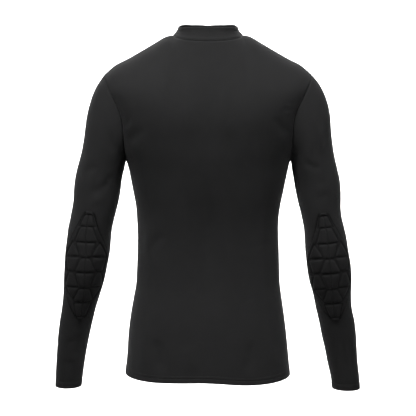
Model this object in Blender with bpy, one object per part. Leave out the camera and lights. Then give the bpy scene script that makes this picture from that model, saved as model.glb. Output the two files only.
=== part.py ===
"""Long-sleeved compression shirt with quilted elbow pads, worn and hollow.

The shirt stands as on a wearer. The origin is the middle of the neck opening
at the top of the shoulders. The front faces -Y, the wearer's left is +X and
the hem is below. Tables are in millimetres and solids in metres.

The shirt is one skin that is cut into the pieces a maker would sew: front and
back panels, two sleeves and a collar. Each seam's points are worked out once
and shared, and each piece then keeps half of the seam gap from them.
"""
import math

import bpy
import numpy as np

MM = 0.001
WALL = 1.6
HEM_WALL = 2.6
COLLAR_WALL = 2.2
SEAM_GAP = 0.32
NECK_GAP = 0.5
ARMHOLE_GAP = 0.44
HEM_DEPTH = 16.0

CAP_ROWS = 12
BODY_ROWS = 14
SHOULDER_COLUMNS = 6
NECK_COLUMNS = 8
HALF_COLUMNS = SHOULDER_COLUMNS + NECK_COLUMNS
RING_POINTS = 2 * CAP_ROWS
COLLAR_ROWS = 4
EDGE_ANGLE = math.radians(50.0)

UNDERARM = -246.0
ROW_DIP = 42.0
ROW_DIP_POWER = 3.0
HEM = -679.0
HEM_LIP = 1.5
SHOULDER_POINT = (206.0, -2.0, -79.0)
NECK_POINT = (69.5, 0.0, 1.0)

# Torso. Height, half width left, half width right, back depth, front depth.
# Above the underarm the armholes cut the sections short.
TORSO = np.array([
    (40.0, 246.0, 246.0, 86.0, 84.0),
    (0.0, 242.0, 242.0, 88.0, 88.0),
    (-40.0, 238.0, 238.0, 90.0, 93.0),
    (-80.0, 231.0, 231.0, 98.0, 104.0),
    (-103.0, 221.0, 221.0, 103.0, 110.0),
    (-130.0, 203.0, 203.0, 108.0, 115.0),
    (-160.0, 189.0, 190.0, 111.0, 119.0),
    (-200.0, 178.0, 180.0, 110.0, 119.0),
    (-225.0, 169.0, 171.0, 109.0, 116.0),
    (-246.0, 163.0, 164.0, 107.0, 114.0),
    (-262.0, 158.5, 160.2, 105.0, 112.0),
    (-285.0, 153.8, 155.4, 102.0, 109.0),
    (-310.0, 149.2, 150.5, 98.0, 106.0),
    (-340.0, 144.0, 144.4, 93.0, 102.0),
    (-370.0, 142.0, 141.0, 89.0, 99.0),
    (-400.0, 141.0, 140.9, 87.0, 97.0),
    (-430.0, 141.5, 142.2, 87.0, 96.0),
    (-470.0, 143.0, 143.4, 89.0, 97.0),
    (-500.0, 145.0, 144.8, 92.0, 99.0),
    (-530.0, 150.4, 148.9, 97.0, 101.0),
    (-560.0, 155.6, 153.2, 102.0, 103.0),
    (-600.0, 160.6, 158.2, 107.0, 105.0),
    (-640.0, 163.2, 162.2, 111.0, 107.0),
    (-679.0, 167.0, 166.0, 114.0, 108.0)])
TORSO_ROUNDNESS = 2.3
MOST_DEPTH_SHARE = 0.9

# Shoulder line. Distance from the middle, height, depth of the rounded top.
SHOULDER = np.array([
    (0.0, 36.0, 110.0),
    (35.0, 17.0, 110.0),
    (69.5, 1.0, 110.0),
    (81.0, -1.5, 110.0),
    (103.0, -14.0, 108.0),
    (131.0, -30.5, 100.0),
    (158.0, -46.0, 88.0),
    (187.0, -61.5, 76.0),
    (206.0, -79.0, 70.0),
    (250.0, -128.0, 66.0)])
SHOULDER_ROUNDNESS = 1.55

# Armhole. Height, distance from the middle at the back, at the front.
ARMHOLE = np.array([
    (-79.0, 206.0, 206.0),
    (-90.0, 201.5, 198.0),
    (-103.0, 195.0, 188.0),
    (-130.0, 180.5, 171.0),
    (-155.0, 170.5, 162.0),
    (-180.0, 167.0, 158.5),
    (-200.0, 166.0, 158.0),
    (-222.0, 164.5, 160.0),
    (-246.0, 163.0, 163.0)])
ARMHOLE_HALF_DEPTH_BACK = 58.0
ARMHOLE_HALF_DEPTH_FRONT = 62.0
ARMHOLE_FULLNESS = 0.9

# How the rows and columns crowd together, and how fast a panel's skin eases
# on to the points of its seams.
SHOULDER_CROWDING = 1.25
CAP_CROWDING = 1.1
SEAM_FADE = 4.0
ARMHOLE_EASE_RINGS = 7.0

# Neckline. Angle from the side, distance out, distance back or front, height.
NECK_BACK = np.array([
    (0.0, 69.5, 0.0, 1.0),
    (30.0, 61.0, 29.0, -3.0),
    (60.0, 36.0, 52.0, -5.5),
    (90.0, 0.0, 60.0, -6.5)])
NECK_FRONT = np.array([
    (0.0, 69.5, 0.0, 1.0),
    (30.0, 62.0, 30.0, -6.0),
    (60.0, 37.0, 56.0, -17.0),
    (90.0, 0.0, 66.0, -23.0)])

# Collar. How high its rim stands above the neckline, and how far it leans in.
COLLAR_RISE_BACK = 25.5
COLLAR_RISE_SIDE = 15.0
COLLAR_RISE_FRONT = 37.5
COLLAR_RISE_POWER = 1.3
COLLAR_LEAN = 7.5
COLLAR_SIDE_LEAN = 2.5
COLLAR_LEAN_POWER = 1.8

# Hem line. Distance to the wearer's left, height at the back, at the front.
HEM_LINE = np.array([
    (-170.0, -682.0, -682.0),
    (-130.0, -683.5, -681.5),
    (-90.0, -683.0, -681.0),
    (-60.0, -681.0, -680.5),
    (-30.0, -678.0, -680.0),
    (5.0, -676.0, -679.5),
    (40.0, -676.5, -679.5),
    (80.0, -678.0, -679.0),
    (120.0, -679.5, -679.0),
    (170.0, -679.0, -679.0)])

# How much higher the cuff of each sleeve ends than the ring table says.
CUFF_LIFT_LEFT = 3.0
CUFF_LIFT_RIGHT = -2.0
CUFF_LIFT_FROM = -600.0

# Sleeve outline seen from behind. Height, left sleeve, right sleeve.
SLEEVE_OUTER = np.array([
    (-79.0, 206.0, 206.0),
    (-88.0, 212.5, 214.4),
    (-96.0, 218.1, 220.4),
    (-108.0, 224.6, 227.3),
    (-122.0, 230.4, 233.5),
    (-140.0, 236.0, 239.1),
    (-160.0, 240.7, 242.7),
    (-185.0, 244.3, 244.6),
    (-210.0, 247.8, 247.2),
    (-235.0, 252.8, 251.0),
    (-265.0, 261.1, 257.8),
    (-285.0, 265.3, 262.5),
    (-305.0, 267.7, 264.7),
    (-325.0, 268.6, 265.3),
    (-345.0, 271.8, 265.3),
    (-365.0, 275.8, 268.1),
    (-385.0, 280.0, 273.2),
    (-405.0, 282.6, 277.6),
    (-430.0, 286.0, 281.6),
    (-460.0, 288.2, 286.8),
    (-490.0, 290.2, 289.2),
    (-520.0, 292.0, 289.0),
    (-550.0, 295.6, 291.0),
    (-580.0, 300.8, 297.5),
    (-610.0, 304.9, 301.4),
    (-640.0, 307.8, 303.7),
    (-670.0, 310.2, 306.2),
    (-700.0, 312.3, 310.1),
    (-724.0, 313.4, 312.2)])
SLEEVE_INNER = np.array([
    (-246.0, 163.0, 163.0),
    (-250.0, 163.6, 164.6),
    (-265.0, 166.7, 166.9),
    (-285.0, 171.2, 170.5),
    (-305.0, 173.8, 173.7),
    (-325.0, 177.1, 177.9),
    (-345.0, 181.8, 182.9),
    (-365.0, 187.0, 187.8),
    (-385.0, 191.4, 191.6),
    (-405.0, 193.8, 193.2),
    (-430.0, 196.0, 194.8),
    (-460.0, 201.7, 198.1),
    (-490.0, 208.0, 203.0),
    (-520.0, 216.9, 211.5),
    (-550.0, 226.3, 217.7),
    (-580.0, 233.8, 224.8),
    (-610.0, 240.7, 230.9),
    (-640.0, 246.8, 238.1),
    (-670.0, 251.9, 244.3),
    (-700.0, 256.2, 251.3),
    (-724.0, 259.6, 255.0)])

# Sleeve rings. Outer height, inner height, how far back the middle lies and
# half the depth from back to front.
SLEEVE = np.array([
    (-79.0, -246.0, -3.0, 60.0),
    (-95.0, -248.6, -2.5, 59.5),
    (-114.0, -251.2, -2.0, 59.0),
    (-136.0, -253.8, -1.0, 58.0),
    (-160.0, -256.6, 0.0, 57.0),
    (-186.0, -260.0, 0.5, 55.5),
    (-214.0, -265.0, 1.0, 54.0),
    (-244.0, -274.0, 1.5, 52.5),
    (-275.0, -288.0, 2.0, 51.0),
    (-304.0, -308.0, 3.0, 49.5),
    (-332.0, -332.0, 4.0, 48.5),
    (-356.0, -356.0, 4.5, 47.5),
    (-380.0, -380.0, 5.0, 47.0),
    (-404.0, -404.0, 5.0, 46.8),
    (-428.0, -428.0, 4.5, 46.5),
    (-452.0, -452.0, 3.5, 46.0),
    (-476.0, -476.0, 0.5, 45.0),
    (-500.0, -500.0, -4.0, 43.5),
    (-524.0, -524.0, -9.0, 41.5),
    (-548.0, -548.0, -14.0, 39.5),
    (-574.0, -574.0, -19.5, 37.5),
    (-602.0, -602.0, -25.5, 35.5),
    (-632.0, -632.0, -32.0, 33.5),
    (-664.0, -664.0, -38.5, 31.5),
    (-708.0, -708.0, -47.0, 29.5),
    (-709.5, -709.5, -47.3, 29.5),
    (-724.0, -723.0, -50.0, 29.0)])

# Soft swells and hollows of the back and front. Side of the middle, height,
# half width, half height, how far out.
BACK_FORMS = (
    (118.0, -118.0, 46.0, 50.0, 5.0),
    (-128.0, -122.0, 46.0, 50.0, 5.0),
    (84.0, -268.0, 40.0, 60.0, -3.5),
    (-86.0, -256.0, 40.0, 60.0, -3.5),
    (0.0, -150.0, 20.0, 90.0, -4.0),
    (0.0, -390.0, 26.0, 130.0, -5.0),
    (48.0, -400.0, 26.0, 110.0, 2.5),
    (-48.0, -400.0, 26.0, 110.0, 2.5))
FRONT_FORMS = (
    (74.0, -175.0, 52.0, 46.0, 6.0),
    (-74.0, -175.0, 52.0, 46.0, 6.0),
    (0.0, -180.0, 18.0, 60.0, -5.0),
    (0.0, -330.0, 20.0, 120.0, -3.0))

# Elbow pad, drawn flat. Across from its middle line to one edge, and down
# from its top. Each cell is a loop of these corners.
PAD_TOP = -343.0
PAD_LENGTH = 225.0
PAD_DROP = 222.0
PAD_LIFT = 0.6
PAD_GROOVE = 1.3
PAD_RIM = 2.4
PAD_RIM_SHARE = 0.4
PAD_EDGE = 1.8
PAD_SHOULDER = 3.1
PAD_CROWN = 4.0
PAD_STEP = 10.5
PAD_BEND = 46.0
CELL_INSET = 0.78
INSET_BULGE = 0.35
PAD_CORNERS = {
    "a0": (0.0, 6.0), "a1": (8.0, 6.0),
    "b0": (0.0, 33.0), "b1": (13.0, 33.0),
    "c0": (0.0, 66.5), "c1": (23.0, 66.5), "c2": (33.0, 68.0),
    "d0": (0.0, 97.0), "d1": (11.0, 97.0), "d2": (52.0, 96.5),
    "e0": (0.0, 129.5), "e1": (20.5, 129.0), "e2": (39.5, 128.0), "e3": (57.0, 128.0),
    "f0": (0.0, 163.0), "f1": (12.0, 162.5), "f2": (43.0, 160.0),
    "g0": (0.0, 193.0), "g1": (20.5, 192.5),
    "h0": (0.0, 220.0), "h1": (9.5, 220.0)}
PAD_CELLS = (
    ("a0", "a1", "b1", "b0"), ("b0", "b1", "c1", "c0"),
    ("c0", "c1", "d1", "d0"), ("c1", "c2", "d2", "d1"),
    ("d0", "d1", "e1", "e0"), ("d1", "d2", "e2", "e1"), ("d2", "e3", "e2"),
    ("e0", "e1", "f1", "f0"), ("e1", "e2", "f2", "f1"), ("e2", "e3", "f2"),
    ("f0", "f1", "g1", "g0"), ("f1", "f2", "g1"),
    ("g0", "g1", "h1", "h0"))
PAD_INNER_EDGE = ("a0", "a1", "b1", "c1", "c2", "d2", "e3", "f2", "g1", "h1", "h0")
PAD_OUTER_EDGE = (
    (0.0, 0.0), (12.5, 0.0), (23.5, 30.0), (35.5, 54.0), (44.0, 66.0), (59.5, 94.0),
    (61.5, 130.0), (50.0, 165.0), (31.0, 194.0), (12.5, 225.0), (0.0, 225.0))

# Half the angle and half the length over which a sleeve's slope is read.
SLOPE_TURN = 0.01
SLOPE_STEP = 12.0

# How far the pad's middle line lies to the outside of the arm, top and bottom.
PAD_SHIFT_LEFT = (10.0, -9.0)
PAD_SHIFT_RIGHT = (7.0, 2.0)

CLOTH = (0.018, 0.019, 0.022, 1.0)
PANEL_CLOTH = (0.016, 0.017, 0.019, 1.0)
PAD_CLOTH = (0.012, 0.012, 0.014, 1.0)
COLLAR_CLOTH = (0.020, 0.021, 0.024, 1.0)


def unit(vectors):
    """Vectors of length one."""
    size = np.linalg.norm(vectors, axis=-1, keepdims=True)
    return vectors / np.maximum(size, 1e-9)


def smooth(table, column, at):
    """A table's column between its rows, without corners."""
    order = np.argsort(table[:, 0])
    x = table[order, 0]
    y = table[order, column]
    step = np.diff(x)
    rise = np.diff(y) / step
    slope = np.empty_like(y)
    slope[1:-1] = (rise[:-1] * step[1:] + rise[1:] * step[:-1]) / (step[:-1] + step[1:])
    slope[0] = rise[0]
    slope[-1] = rise[-1]
    at = np.clip(np.asarray(at, dtype=float), x[0], x[-1])
    k = np.clip(np.searchsorted(x, at, side="right") - 1, 0, len(x) - 2)
    t = (at - x[k]) / step[k]
    a = (1.0 + 2.0 * t) * (1.0 - t) ** 2
    b = t * (1.0 - t) ** 2
    c = t * t * (3.0 - 2.0 * t)
    d = t * t * (t - 1.0)
    return a * y[k] + b * step[k] * slope[k] + c * y[k + 1] + d * step[k] * slope[k + 1]


def forms(table, x, z):
    """Soft swells and hollows added to a depth."""
    total = np.zeros(np.broadcast(x, z).shape)
    for middle, height, wide, tall, out in table:
        total = total + out * np.exp(-((x - middle) / wide) ** 2 - ((z - height) / tall) ** 2)
    return total


def shoulder_cap(across, z):
    """How much of its depth the torso keeps under its rounded shoulder line."""
    line = smooth(SHOULDER, 1, np.abs(across))
    top = smooth(SHOULDER, 2, np.abs(across))
    rise = np.clip((z - line + top) / top, 0.0, 1.0)
    return (1.0 - rise ** SHOULDER_ROUNDNESS) ** (1.0 / SHOULDER_ROUNDNESS)


def armhole_spread(back):
    """Heights along the armhole and the width at which each section closes."""
    edge = armhole_points(back)[::-1]
    across = edge[:, 0]
    depth = smooth(TORSO, 3 if back else 4, edge[:, 2]) * shoulder_cap(across, edge[:, 2])
    share = np.clip(np.abs(edge[:, 1]) / np.maximum(depth, 1.0), 0.0, MOST_DEPTH_SHARE)
    share[0] = 0.0
    width = across / (1.0 - share ** TORSO_ROUNDNESS) ** (1.0 / TORSO_ROUNDNESS)
    width[-1] = width[-2]
    return np.stack([edge[:, 2], width], axis=1)


def torso_width(z, side, back):
    """Half the torso's width, or above the underarm where it would close."""
    given = smooth(TORSO, 1 if side > 0 else 2, z)
    spread = armhole_spread(back)
    return np.where(z < UNDERARM, given, smooth(spread, 1, z))


def torso_depth(across, z, side, back):
    """How far back or front the torso lies at a place seen from behind."""
    width = torso_width(z, side, back)
    depth = smooth(TORSO, 3 if back else 4, z)
    share = np.clip(np.abs(across) / width, 0.0, 1.0)
    reach = (1.0 - share ** TORSO_ROUNDNESS) ** (1.0 / TORSO_ROUNDNESS)
    extra = forms(BACK_FORMS if back else FRONT_FORMS, across * side, z)
    return (depth + extra) * reach * shoulder_cap(across, z)


def armhole_points(back):
    """The armhole's edge from the shoulder point to the underarm."""
    angle = np.linspace(0.0, math.pi, CAP_ROWS + 1)
    top = SHOULDER_POINT[2]
    z = 0.5 * (top + UNDERARM) + 0.5 * (top - UNDERARM) * np.cos(angle)
    x = smooth(ARMHOLE, 1 if back else 2, z)
    half = ARMHOLE_HALF_DEPTH_BACK if back else ARMHOLE_HALF_DEPTH_FRONT
    sign = 1.0 if back else -1.0
    middle = SHOULDER_POINT[1] * (0.5 + 0.5 * np.cos(angle))
    y = middle + sign * half * np.sin(angle) ** ARMHOLE_FULLNESS
    return np.stack([x, y, z], axis=1)


def shoulder_points():
    """The shoulder seam from the shoulder point to the neck point."""
    share = np.linspace(0.0, 1.0, SHOULDER_COLUMNS + 1) ** SHOULDER_CROWDING
    x = SHOULDER_POINT[0] + (NECK_POINT[0] - SHOULDER_POINT[0]) * share
    y = SHOULDER_POINT[1] + (NECK_POINT[1] - SHOULDER_POINT[1]) * share
    return np.stack([x, y, smooth(SHOULDER, 1, x)], axis=1)


def neckline_points(back):
    """Half of the neckline from the neck point to the middle."""
    table = NECK_BACK if back else NECK_FRONT
    angle = np.linspace(0.0, 90.0, NECK_COLUMNS + 1)
    turn = np.radians(angle)
    x = smooth(table, 1, angle)
    y = smooth(table, 2, angle)
    x = 0.5 * x + 0.5 * NECK_POINT[0] * np.cos(turn)
    y = 0.5 * y + 0.5 * table[-1, 2] * np.sin(turn)
    x[-1] = 0.0
    return np.stack([x, y if back else -y, smooth(table, 3, angle)], axis=1)


def half_panel(side, back):
    """Points of half a panel, from its side edge to its middle."""
    sign = 1.0 if back else -1.0
    top = np.concatenate([shoulder_points(), neckline_points(back)[1:]])
    arm = armhole_points(back)
    u = np.linspace(0.0, 1.0, HALF_COLUMNS + 1)
    turn = u * 0.5 * math.pi
    dip = ROW_DIP * (1.0 - (1.0 - u) ** ROW_DIP_POWER)
    low_z = UNDERARM - dip
    width = smooth(TORSO, 1 if side > 0 else 2, low_z)
    low = np.stack([width * np.cos(turn) ** (2.0 / TORSO_ROUNDNESS), low_z], axis=1)
    low[-1, 0] = 0.0
    low[0] = arm[-1, [0, 2]]
    v = np.linspace(0.0, 1.0, CAP_ROWS + 1) ** CAP_CROWDING
    middle = np.stack([np.zeros_like(v), top[-1, 2] + (low_z[-1] - top[-1, 2]) * v], axis=1)
    edge_top = top[:, [0, 2]]
    edge_arm = arm[:, [0, 2]]
    uu = u[None, :, None]
    vv = v[:, None, None]
    flat = (1.0 - vv) * edge_top[None] + vv * low[None]
    flat = flat + (1.0 - uu) * edge_arm[:, None] + uu * middle[:, None]
    flat = flat - (1.0 - uu) * (1.0 - vv) * edge_top[0] - uu * (1.0 - vv) * edge_top[-1]
    flat = flat - (1.0 - uu) * vv * low[0] - uu * vv * low[-1]
    x = flat[..., 0]
    z = flat[..., 1]
    skin = np.stack([x, sign * torso_depth(x, z, side, back), z], axis=-1)
    fade_top = (1.0 - vv) ** SEAM_FADE
    fade_arm = (1.0 - uu) ** SEAM_FADE
    miss_top = top - skin[0]
    miss_arm = arm - skin[:, 0]
    skin = skin + fade_top * miss_top[None] + fade_arm * miss_arm[:, None]
    skin = skin - fade_top * fade_arm * miss_top[0]
    rows = [skin]
    fall = np.linspace(0.0, 1.0, BODY_ROWS)[1:]
    heights = np.append(UNDERARM + (HEM + HEM_DEPTH - UNDERARM) * fall, [HEM + HEM_DEPTH - HEM_LIP, HEM])
    dips = np.append(1.0 - fall, [0.0, 0.0])
    falls = np.append(fall, [1.0, 1.0])
    for height, share, low_share in zip(heights, dips, falls):
        z = height - dip * share
        width = smooth(TORSO, 1 if side > 0 else 2, z)
        across = width * np.cos(turn) ** (2.0 / TORSO_ROUNDNESS)
        across[-1] = 0.0
        z = z + (smooth(HEM_LINE, 1 if back else 2, across * side) - HEM) * low_share ** SEAM_FADE
        depth = smooth(TORSO, 3 if back else 4, z)
        extra = forms(BACK_FORMS if back else FRONT_FORMS, across * side, z)
        away = (depth + extra) * np.sin(turn) ** (2.0 / TORSO_ROUNDNESS)
        rows.append(np.stack([across, sign * away, z], axis=1)[None])
    points = np.concatenate(rows)
    points[..., 0] *= side
    return points


def panel(back):
    """Points of a whole panel, from the wearer's left to the right."""
    left = half_panel(1.0, back)
    right = half_panel(-1.0, back)
    return np.concatenate([left, right[:, -2::-1]], axis=1)


def sleeve_ring(side, outer, angle):
    """Points round the sleeve at one place down its outside."""
    column = 1 if side > 0 else 2
    inner = smooth(SLEEVE[:, [0, 1]], 1, outer)
    out_x = smooth(SLEEVE_OUTER, column, outer)
    in_x = smooth(SLEEVE_INNER, column, inner)
    middle = smooth(SLEEVE, 2, outer)
    half = smooth(SLEEVE, 3, outer)
    x = 0.5 * (out_x + in_x) + 0.5 * (out_x - in_x) * np.cos(angle)
    z = 0.5 * (outer + inner) + 0.5 * (outer - inner) * np.cos(angle)
    lift = CUFF_LIFT_LEFT if side > 0 else CUFF_LIFT_RIGHT
    below = np.clip((CUFF_LIFT_FROM - z) / (CUFF_LIFT_FROM - SLEEVE[-1, 0]), 0.0, 1.0)
    z = z + lift * below * below
    y = middle + half * np.sin(angle)
    return np.stack([x * side, y, z], axis=-1)


def sleeve(side):
    """Points of a sleeve, ring by ring from the armhole to the cuff."""
    angle = np.linspace(0.0, 2.0 * math.pi, RING_POINTS, endpoint=False)
    rings = np.stack([sleeve_ring(side, outer, angle) for outer in SLEEVE[:, 0]])
    back = armhole_points(True)
    front = armhole_points(False)
    edge = np.concatenate([back, front[-2:0:-1]])
    edge[:, 0] *= side
    miss = edge - rings[0]
    for ring in range(len(rings)):
        share = min(1.0, ring / ARMHOLE_EASE_RINGS)
        rings[ring] += miss * (1.0 - share) ** 2
    return rings


def collar(neckline):
    """Points of the collar, from the neckline up to its rim."""
    count = len(neckline)
    turn = 2.0 * math.pi * np.arange(count) / count
    back = np.clip(np.sin(turn), 0.0, 1.0) ** COLLAR_RISE_POWER
    front = np.clip(-np.sin(turn), 0.0, 1.0) ** COLLAR_RISE_POWER
    rise = COLLAR_RISE_SIDE + (COLLAR_RISE_BACK - COLLAR_RISE_SIDE) * back
    rise = rise + (COLLAR_RISE_FRONT - COLLAR_RISE_SIDE) * front
    outward = unit(np.stack([neckline[:, 0], neckline[:, 1], np.zeros(count)], axis=1))
    rows = []
    for row in range(COLLAR_ROWS + 1):
        share = row / COLLAR_ROWS
        lean = COLLAR_LEAN + COLLAR_SIDE_LEAN * np.cos(turn) ** 2
        inward = (lean * (1.0 - (1.0 - share) ** COLLAR_LEAN_POWER))[:, None]
        points = neckline - outward * inward
        points[:, 2] = neckline[:, 2] + rise * share
        rows.append(points)
    return np.stack(rows)


class Piece:
    """One cloth piece: its outer points and the way to its inner side."""

    def __init__(self, points, wraps, flip):
        self.points = points
        self.wraps = wraps
        self.flip = flip
        self.pull = np.zeros_like(points)
        self.inward = self.find_inward()
        self.seam = np.zeros_like(points)

    def find_inward(self):
        """Unit directions from the outer side to the inner side."""
        down = np.gradient(self.points, axis=0)
        if self.wraps:
            along = np.roll(self.points, -1, axis=1) - np.roll(self.points, 1, axis=1)
        else:
            along = np.gradient(self.points, axis=1)
        across = unit(np.cross(down, along))
        return across if self.flip else -across

    def into(self, cells, nearby, along):
        """Directions in the cloth that lead away from a seam."""
        edge = np.array([self.points[c] for c in cells])
        way = np.array([self.points[c] for c in nearby]) - edge
        face = np.array([self.inward[c] for c in cells])
        across = unit(np.cross(face, along))
        return across * np.sign(np.sum(across * way, axis=1, keepdims=True))

    def outer(self):
        return self.points + self.pull

    def inner(self, wall):
        given = np.linalg.norm(self.seam, axis=-1, keepdims=True) > 0.5
        way = np.where(given, unit(self.seam), self.inward)
        return self.points + self.pull + way * wall


def join(first, first_cells, first_next, second, second_cells, second_next, gap=SEAM_GAP):
    """Share a seam: half the gap to each side and one inward direction."""
    edge = np.array([first.points[c] for c in first_cells])
    along = unit(np.gradient(edge, axis=0))
    into_a = first.into(first_cells, first_next, along)
    into_b = second.into(second_cells, second_next, along)
    apart = into_a - into_b
    apart = apart - along * np.sum(apart * along, axis=1, keepdims=True)
    apart = unit(apart)
    way = unit(np.cross(apart, along))
    known = np.array([first.inward[c] for c in first_cells])
    known = known + np.array([second.inward[c] for c in second_cells])
    pointer = np.sum(way * known, axis=1)
    signs = np.sign(np.where(np.abs(pointer) < 1e-6, 1.0, pointer))
    way = way * signs[:, None]
    way = steady(way)
    for k, cell in enumerate(first_cells):
        first.pull[cell] += 0.5 * gap * apart[k]
        first.seam[cell] += way[k]
    for k, cell in enumerate(second_cells):
        second.pull[cell] -= 0.5 * gap * apart[k]
        second.seam[cell] += way[k]


def meet(*corners):
    """Give one inward direction to pieces that meet at a corner."""
    way = np.zeros(3)
    for piece, cell in corners:
        way = way + unit(piece.seam[cell])
    for piece, cell in corners:
        piece.seam[cell] = way


def steady(ways):
    """Turn round any direction that points against both its neighbours."""
    fixed = ways.copy()
    for k in range(1, len(ways)):
        if np.dot(fixed[k], fixed[k - 1]) < -0.2:
            fixed[k] = -fixed[k]
    return fixed


def shell(name, outer, inner, wraps, flip, material):
    """A closed cloth solid between an outer and an inner grid of points."""
    rows, columns = outer.shape[:2]
    count = rows * columns
    points = np.concatenate([outer.reshape(-1, 3), inner.reshape(-1, 3)])
    faces = []
    last = columns if wraps else columns - 1
    for i in range(rows - 1):
        for j in range(last):
            k = (j + 1) % columns
            a = i * columns + j
            b = i * columns + k
            c = (i + 1) * columns + k
            d = (i + 1) * columns + j
            for one, two, three in split(points, a, b, c, d):
                faces.append((one, two, three))
                faces.append((three + count, two + count, one + count))
    for j in range(last):
        k = (j + 1) % columns
        faces.append((k, j, j + count, k + count))
        a = (rows - 1) * columns + j
        b = (rows - 1) * columns + k
        faces.append((a, b, b + count, a + count))
    if not wraps:
        for i in range(rows - 1):
            a = i * columns
            b = (i + 1) * columns
            faces.append((a, b, b + count, a + count))
            a = i * columns + columns - 1
            b = (i + 1) * columns + columns - 1
            faces.append((b, a, a + count, b + count))
    if not flip:
        faces = [face[::-1] for face in faces]
    return solid(name, points, faces, material)


def split(points, a, b, c, d):
    """Two triangles of a four-cornered face, cut along its shorter way."""
    if np.linalg.norm(points[a] - points[c]) <= np.linalg.norm(points[b] - points[d]):
        return (a, b, c), (a, c, d)
    return (a, b, d), (b, c, d)


class PadNet:
    """The flat net of a quilted pad: places, heights and top faces."""

    def __init__(self):
        self.places = []
        self.heights = []
        self.lifts = []
        self.known = {}
        self.faces = []

    def add(self, place, height, lift=0.0):
        key = (round(place[0], 3), round(place[1], 3))
        if key not in self.known:
            self.known[key] = len(self.places)
            self.places.append(place)
            self.heights.append(height)
            self.lifts.append(lift)
        return self.known[key]

    def cell(self, corners):
        """A puffed cell inside its grooves."""
        loop = []
        for k, start in enumerate(corners):
            loop.extend(steps(start, corners[(k + 1) % len(corners)])[:-1])
        middle = np.mean(loop, axis=0)
        reach = CELL_INSET * max(np.linalg.norm(p - middle) for p in loop)
        bulge = reach * reach / (8.0 * PAD_BEND)
        border = [self.add(tuple(p), PAD_GROOVE) for p in loop]
        inset = [middle + (p - middle) * CELL_INSET for p in loop]
        inset = [self.add(tuple(p), PAD_SHOULDER, INSET_BULGE * bulge) for p in inset]
        centre = self.add(tuple(middle), PAD_CROWN, bulge)
        for k in range(len(loop)):
            j = (k + 1) % len(loop)
            self.faces.append((border[k], border[j], inset[j]))
            self.faces.append((border[k], inset[j], inset[k]))
            self.faces.append((inset[k], inset[j], centre))

    def rim(self, inner, outer):
        """The raised band round the cells. Its outer edge is returned."""
        rows = []
        for start, end, out_start, out_end in zip(inner[:-1], inner[1:], outer[:-1], outer[1:]):
            near = steps(start, end)
            share = np.linspace(0.0, 1.0, len(near))[:, None]
            far = np.array(out_start) + (np.array(out_end) - np.array(out_start)) * share
            for p, q in zip(near[:-1], far[:-1]):
                rows.append((p, q))
        rows.append((np.array(inner[-1]), np.array(outer[-1])))
        edge = []
        lines = []
        for p, q in rows:
            border = self.add(tuple(p), PAD_GROOVE)
            top = self.add(tuple(p + (q - p) * PAD_RIM_SHARE), PAD_RIM)
            rim = self.add(tuple(q), PAD_EDGE)
            lines.append((border, top, rim))
            edge.append(rim)
        for first, second in zip(lines[:-1], lines[1:]):
            for k in (0, 1):
                self.faces.append((first[k], first[k + 1], second[k + 1]))
                self.faces.append((first[k], second[k + 1], second[k]))
        return edge


def steps(start, end):
    """Points from one corner to the next, no further apart than a step."""
    start = np.array(start)
    end = np.array(end)
    count = max(1, math.ceil(np.linalg.norm(end - start) / PAD_STEP))
    return [start + (end - start) * k / count for k in range(count + 1)]


def sleeve_skin(side, outer, angle):
    """Points on the sleeve as it runs straight from ring to ring."""
    heights = -SLEEVE[:, 0]
    k = np.clip(np.searchsorted(heights, -outer, side="right") - 1, 0, len(heights) - 2)
    share = ((-outer - heights[k]) / (heights[k + 1] - heights[k]))[:, None]
    upper = sleeve_ring(side, -heights[k], angle)
    lower = sleeve_ring(side, -heights[k + 1], angle)
    return upper + (lower - upper) * share


def sleeve_place(side, outer, angle):
    """Points on the sleeve and the directions that lead straight out of it."""
    here = sleeve_skin(side, outer, angle)
    onward = sleeve_ring(side, outer, angle + SLOPE_TURN)
    around = onward - sleeve_ring(side, outer, angle - SLOPE_TURN)
    lower = sleeve_ring(side, outer - SLOPE_STEP, angle)
    down = lower - sleeve_ring(side, outer + SLOPE_STEP, angle)
    return here, unit(np.cross(down, around)) * side


def elbow_pad(name, side, material):
    """A quilted pad sewn on the back of a sleeve, just clear of its cloth."""
    net = PadNet()
    inner = [PAD_CORNERS[key] for key in PAD_INNER_EDGE]
    for mirror in (1.0, -1.0):
        for keys in PAD_CELLS:
            corners = [np.array(PAD_CORNERS[key]) * (mirror, 1.0) for key in keys]
            net.cell(corners)
    edges = []
    for mirror in (1.0, -1.0):
        near = [(x * mirror, y) for x, y in inner]
        far = [(x * mirror, y) for x, y in PAD_OUTER_EDGE]
        edges.append(net.rim(near, far))
    places = np.array(net.places)
    heights = np.array(net.heights)
    shift = PAD_SHIFT_LEFT if side > 0 else PAD_SHIFT_RIGHT
    share = places[:, 1] / PAD_LENGTH
    across = places[:, 0] + shift[0] + (shift[1] - shift[0]) * share
    outer = PAD_TOP - PAD_DROP * share
    column = 1 if side > 0 else 2
    width = 0.5 * (smooth(SLEEVE_OUTER, column, outer) - smooth(SLEEVE_INNER, column, outer))
    radius = 0.5 * (width + smooth(SLEEVE, 3, outer))
    angle = 0.5 * math.pi - across / radius
    here, out = sleeve_place(side, outer, angle)
    low = here + out * (PAD_LIFT + np.array(net.lifts)[:, None])
    high = here + out * (PAD_LIFT + heights[:, None])
    count = len(places)
    points = np.concatenate([high, low])
    faces = []
    for a, b, c in net.faces:
        one = places[b] - places[a]
        two = places[c] - places[a]
        if one[0] * two[1] - one[1] * two[0] < 0.0:
            b, c = c, b
        faces.append((a, b, c))
        faces.append((c + count, b + count, a + count))
    loop = edges[0] + edges[1][-2:0:-1]
    for k, a in enumerate(loop):
        b = loop[(k + 1) % len(loop)]
        faces.append((b, a, a + count, b + count))
    if side < 0:
        faces = [face[::-1] for face in faces]
    return solid(name, points, faces, material)


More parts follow.
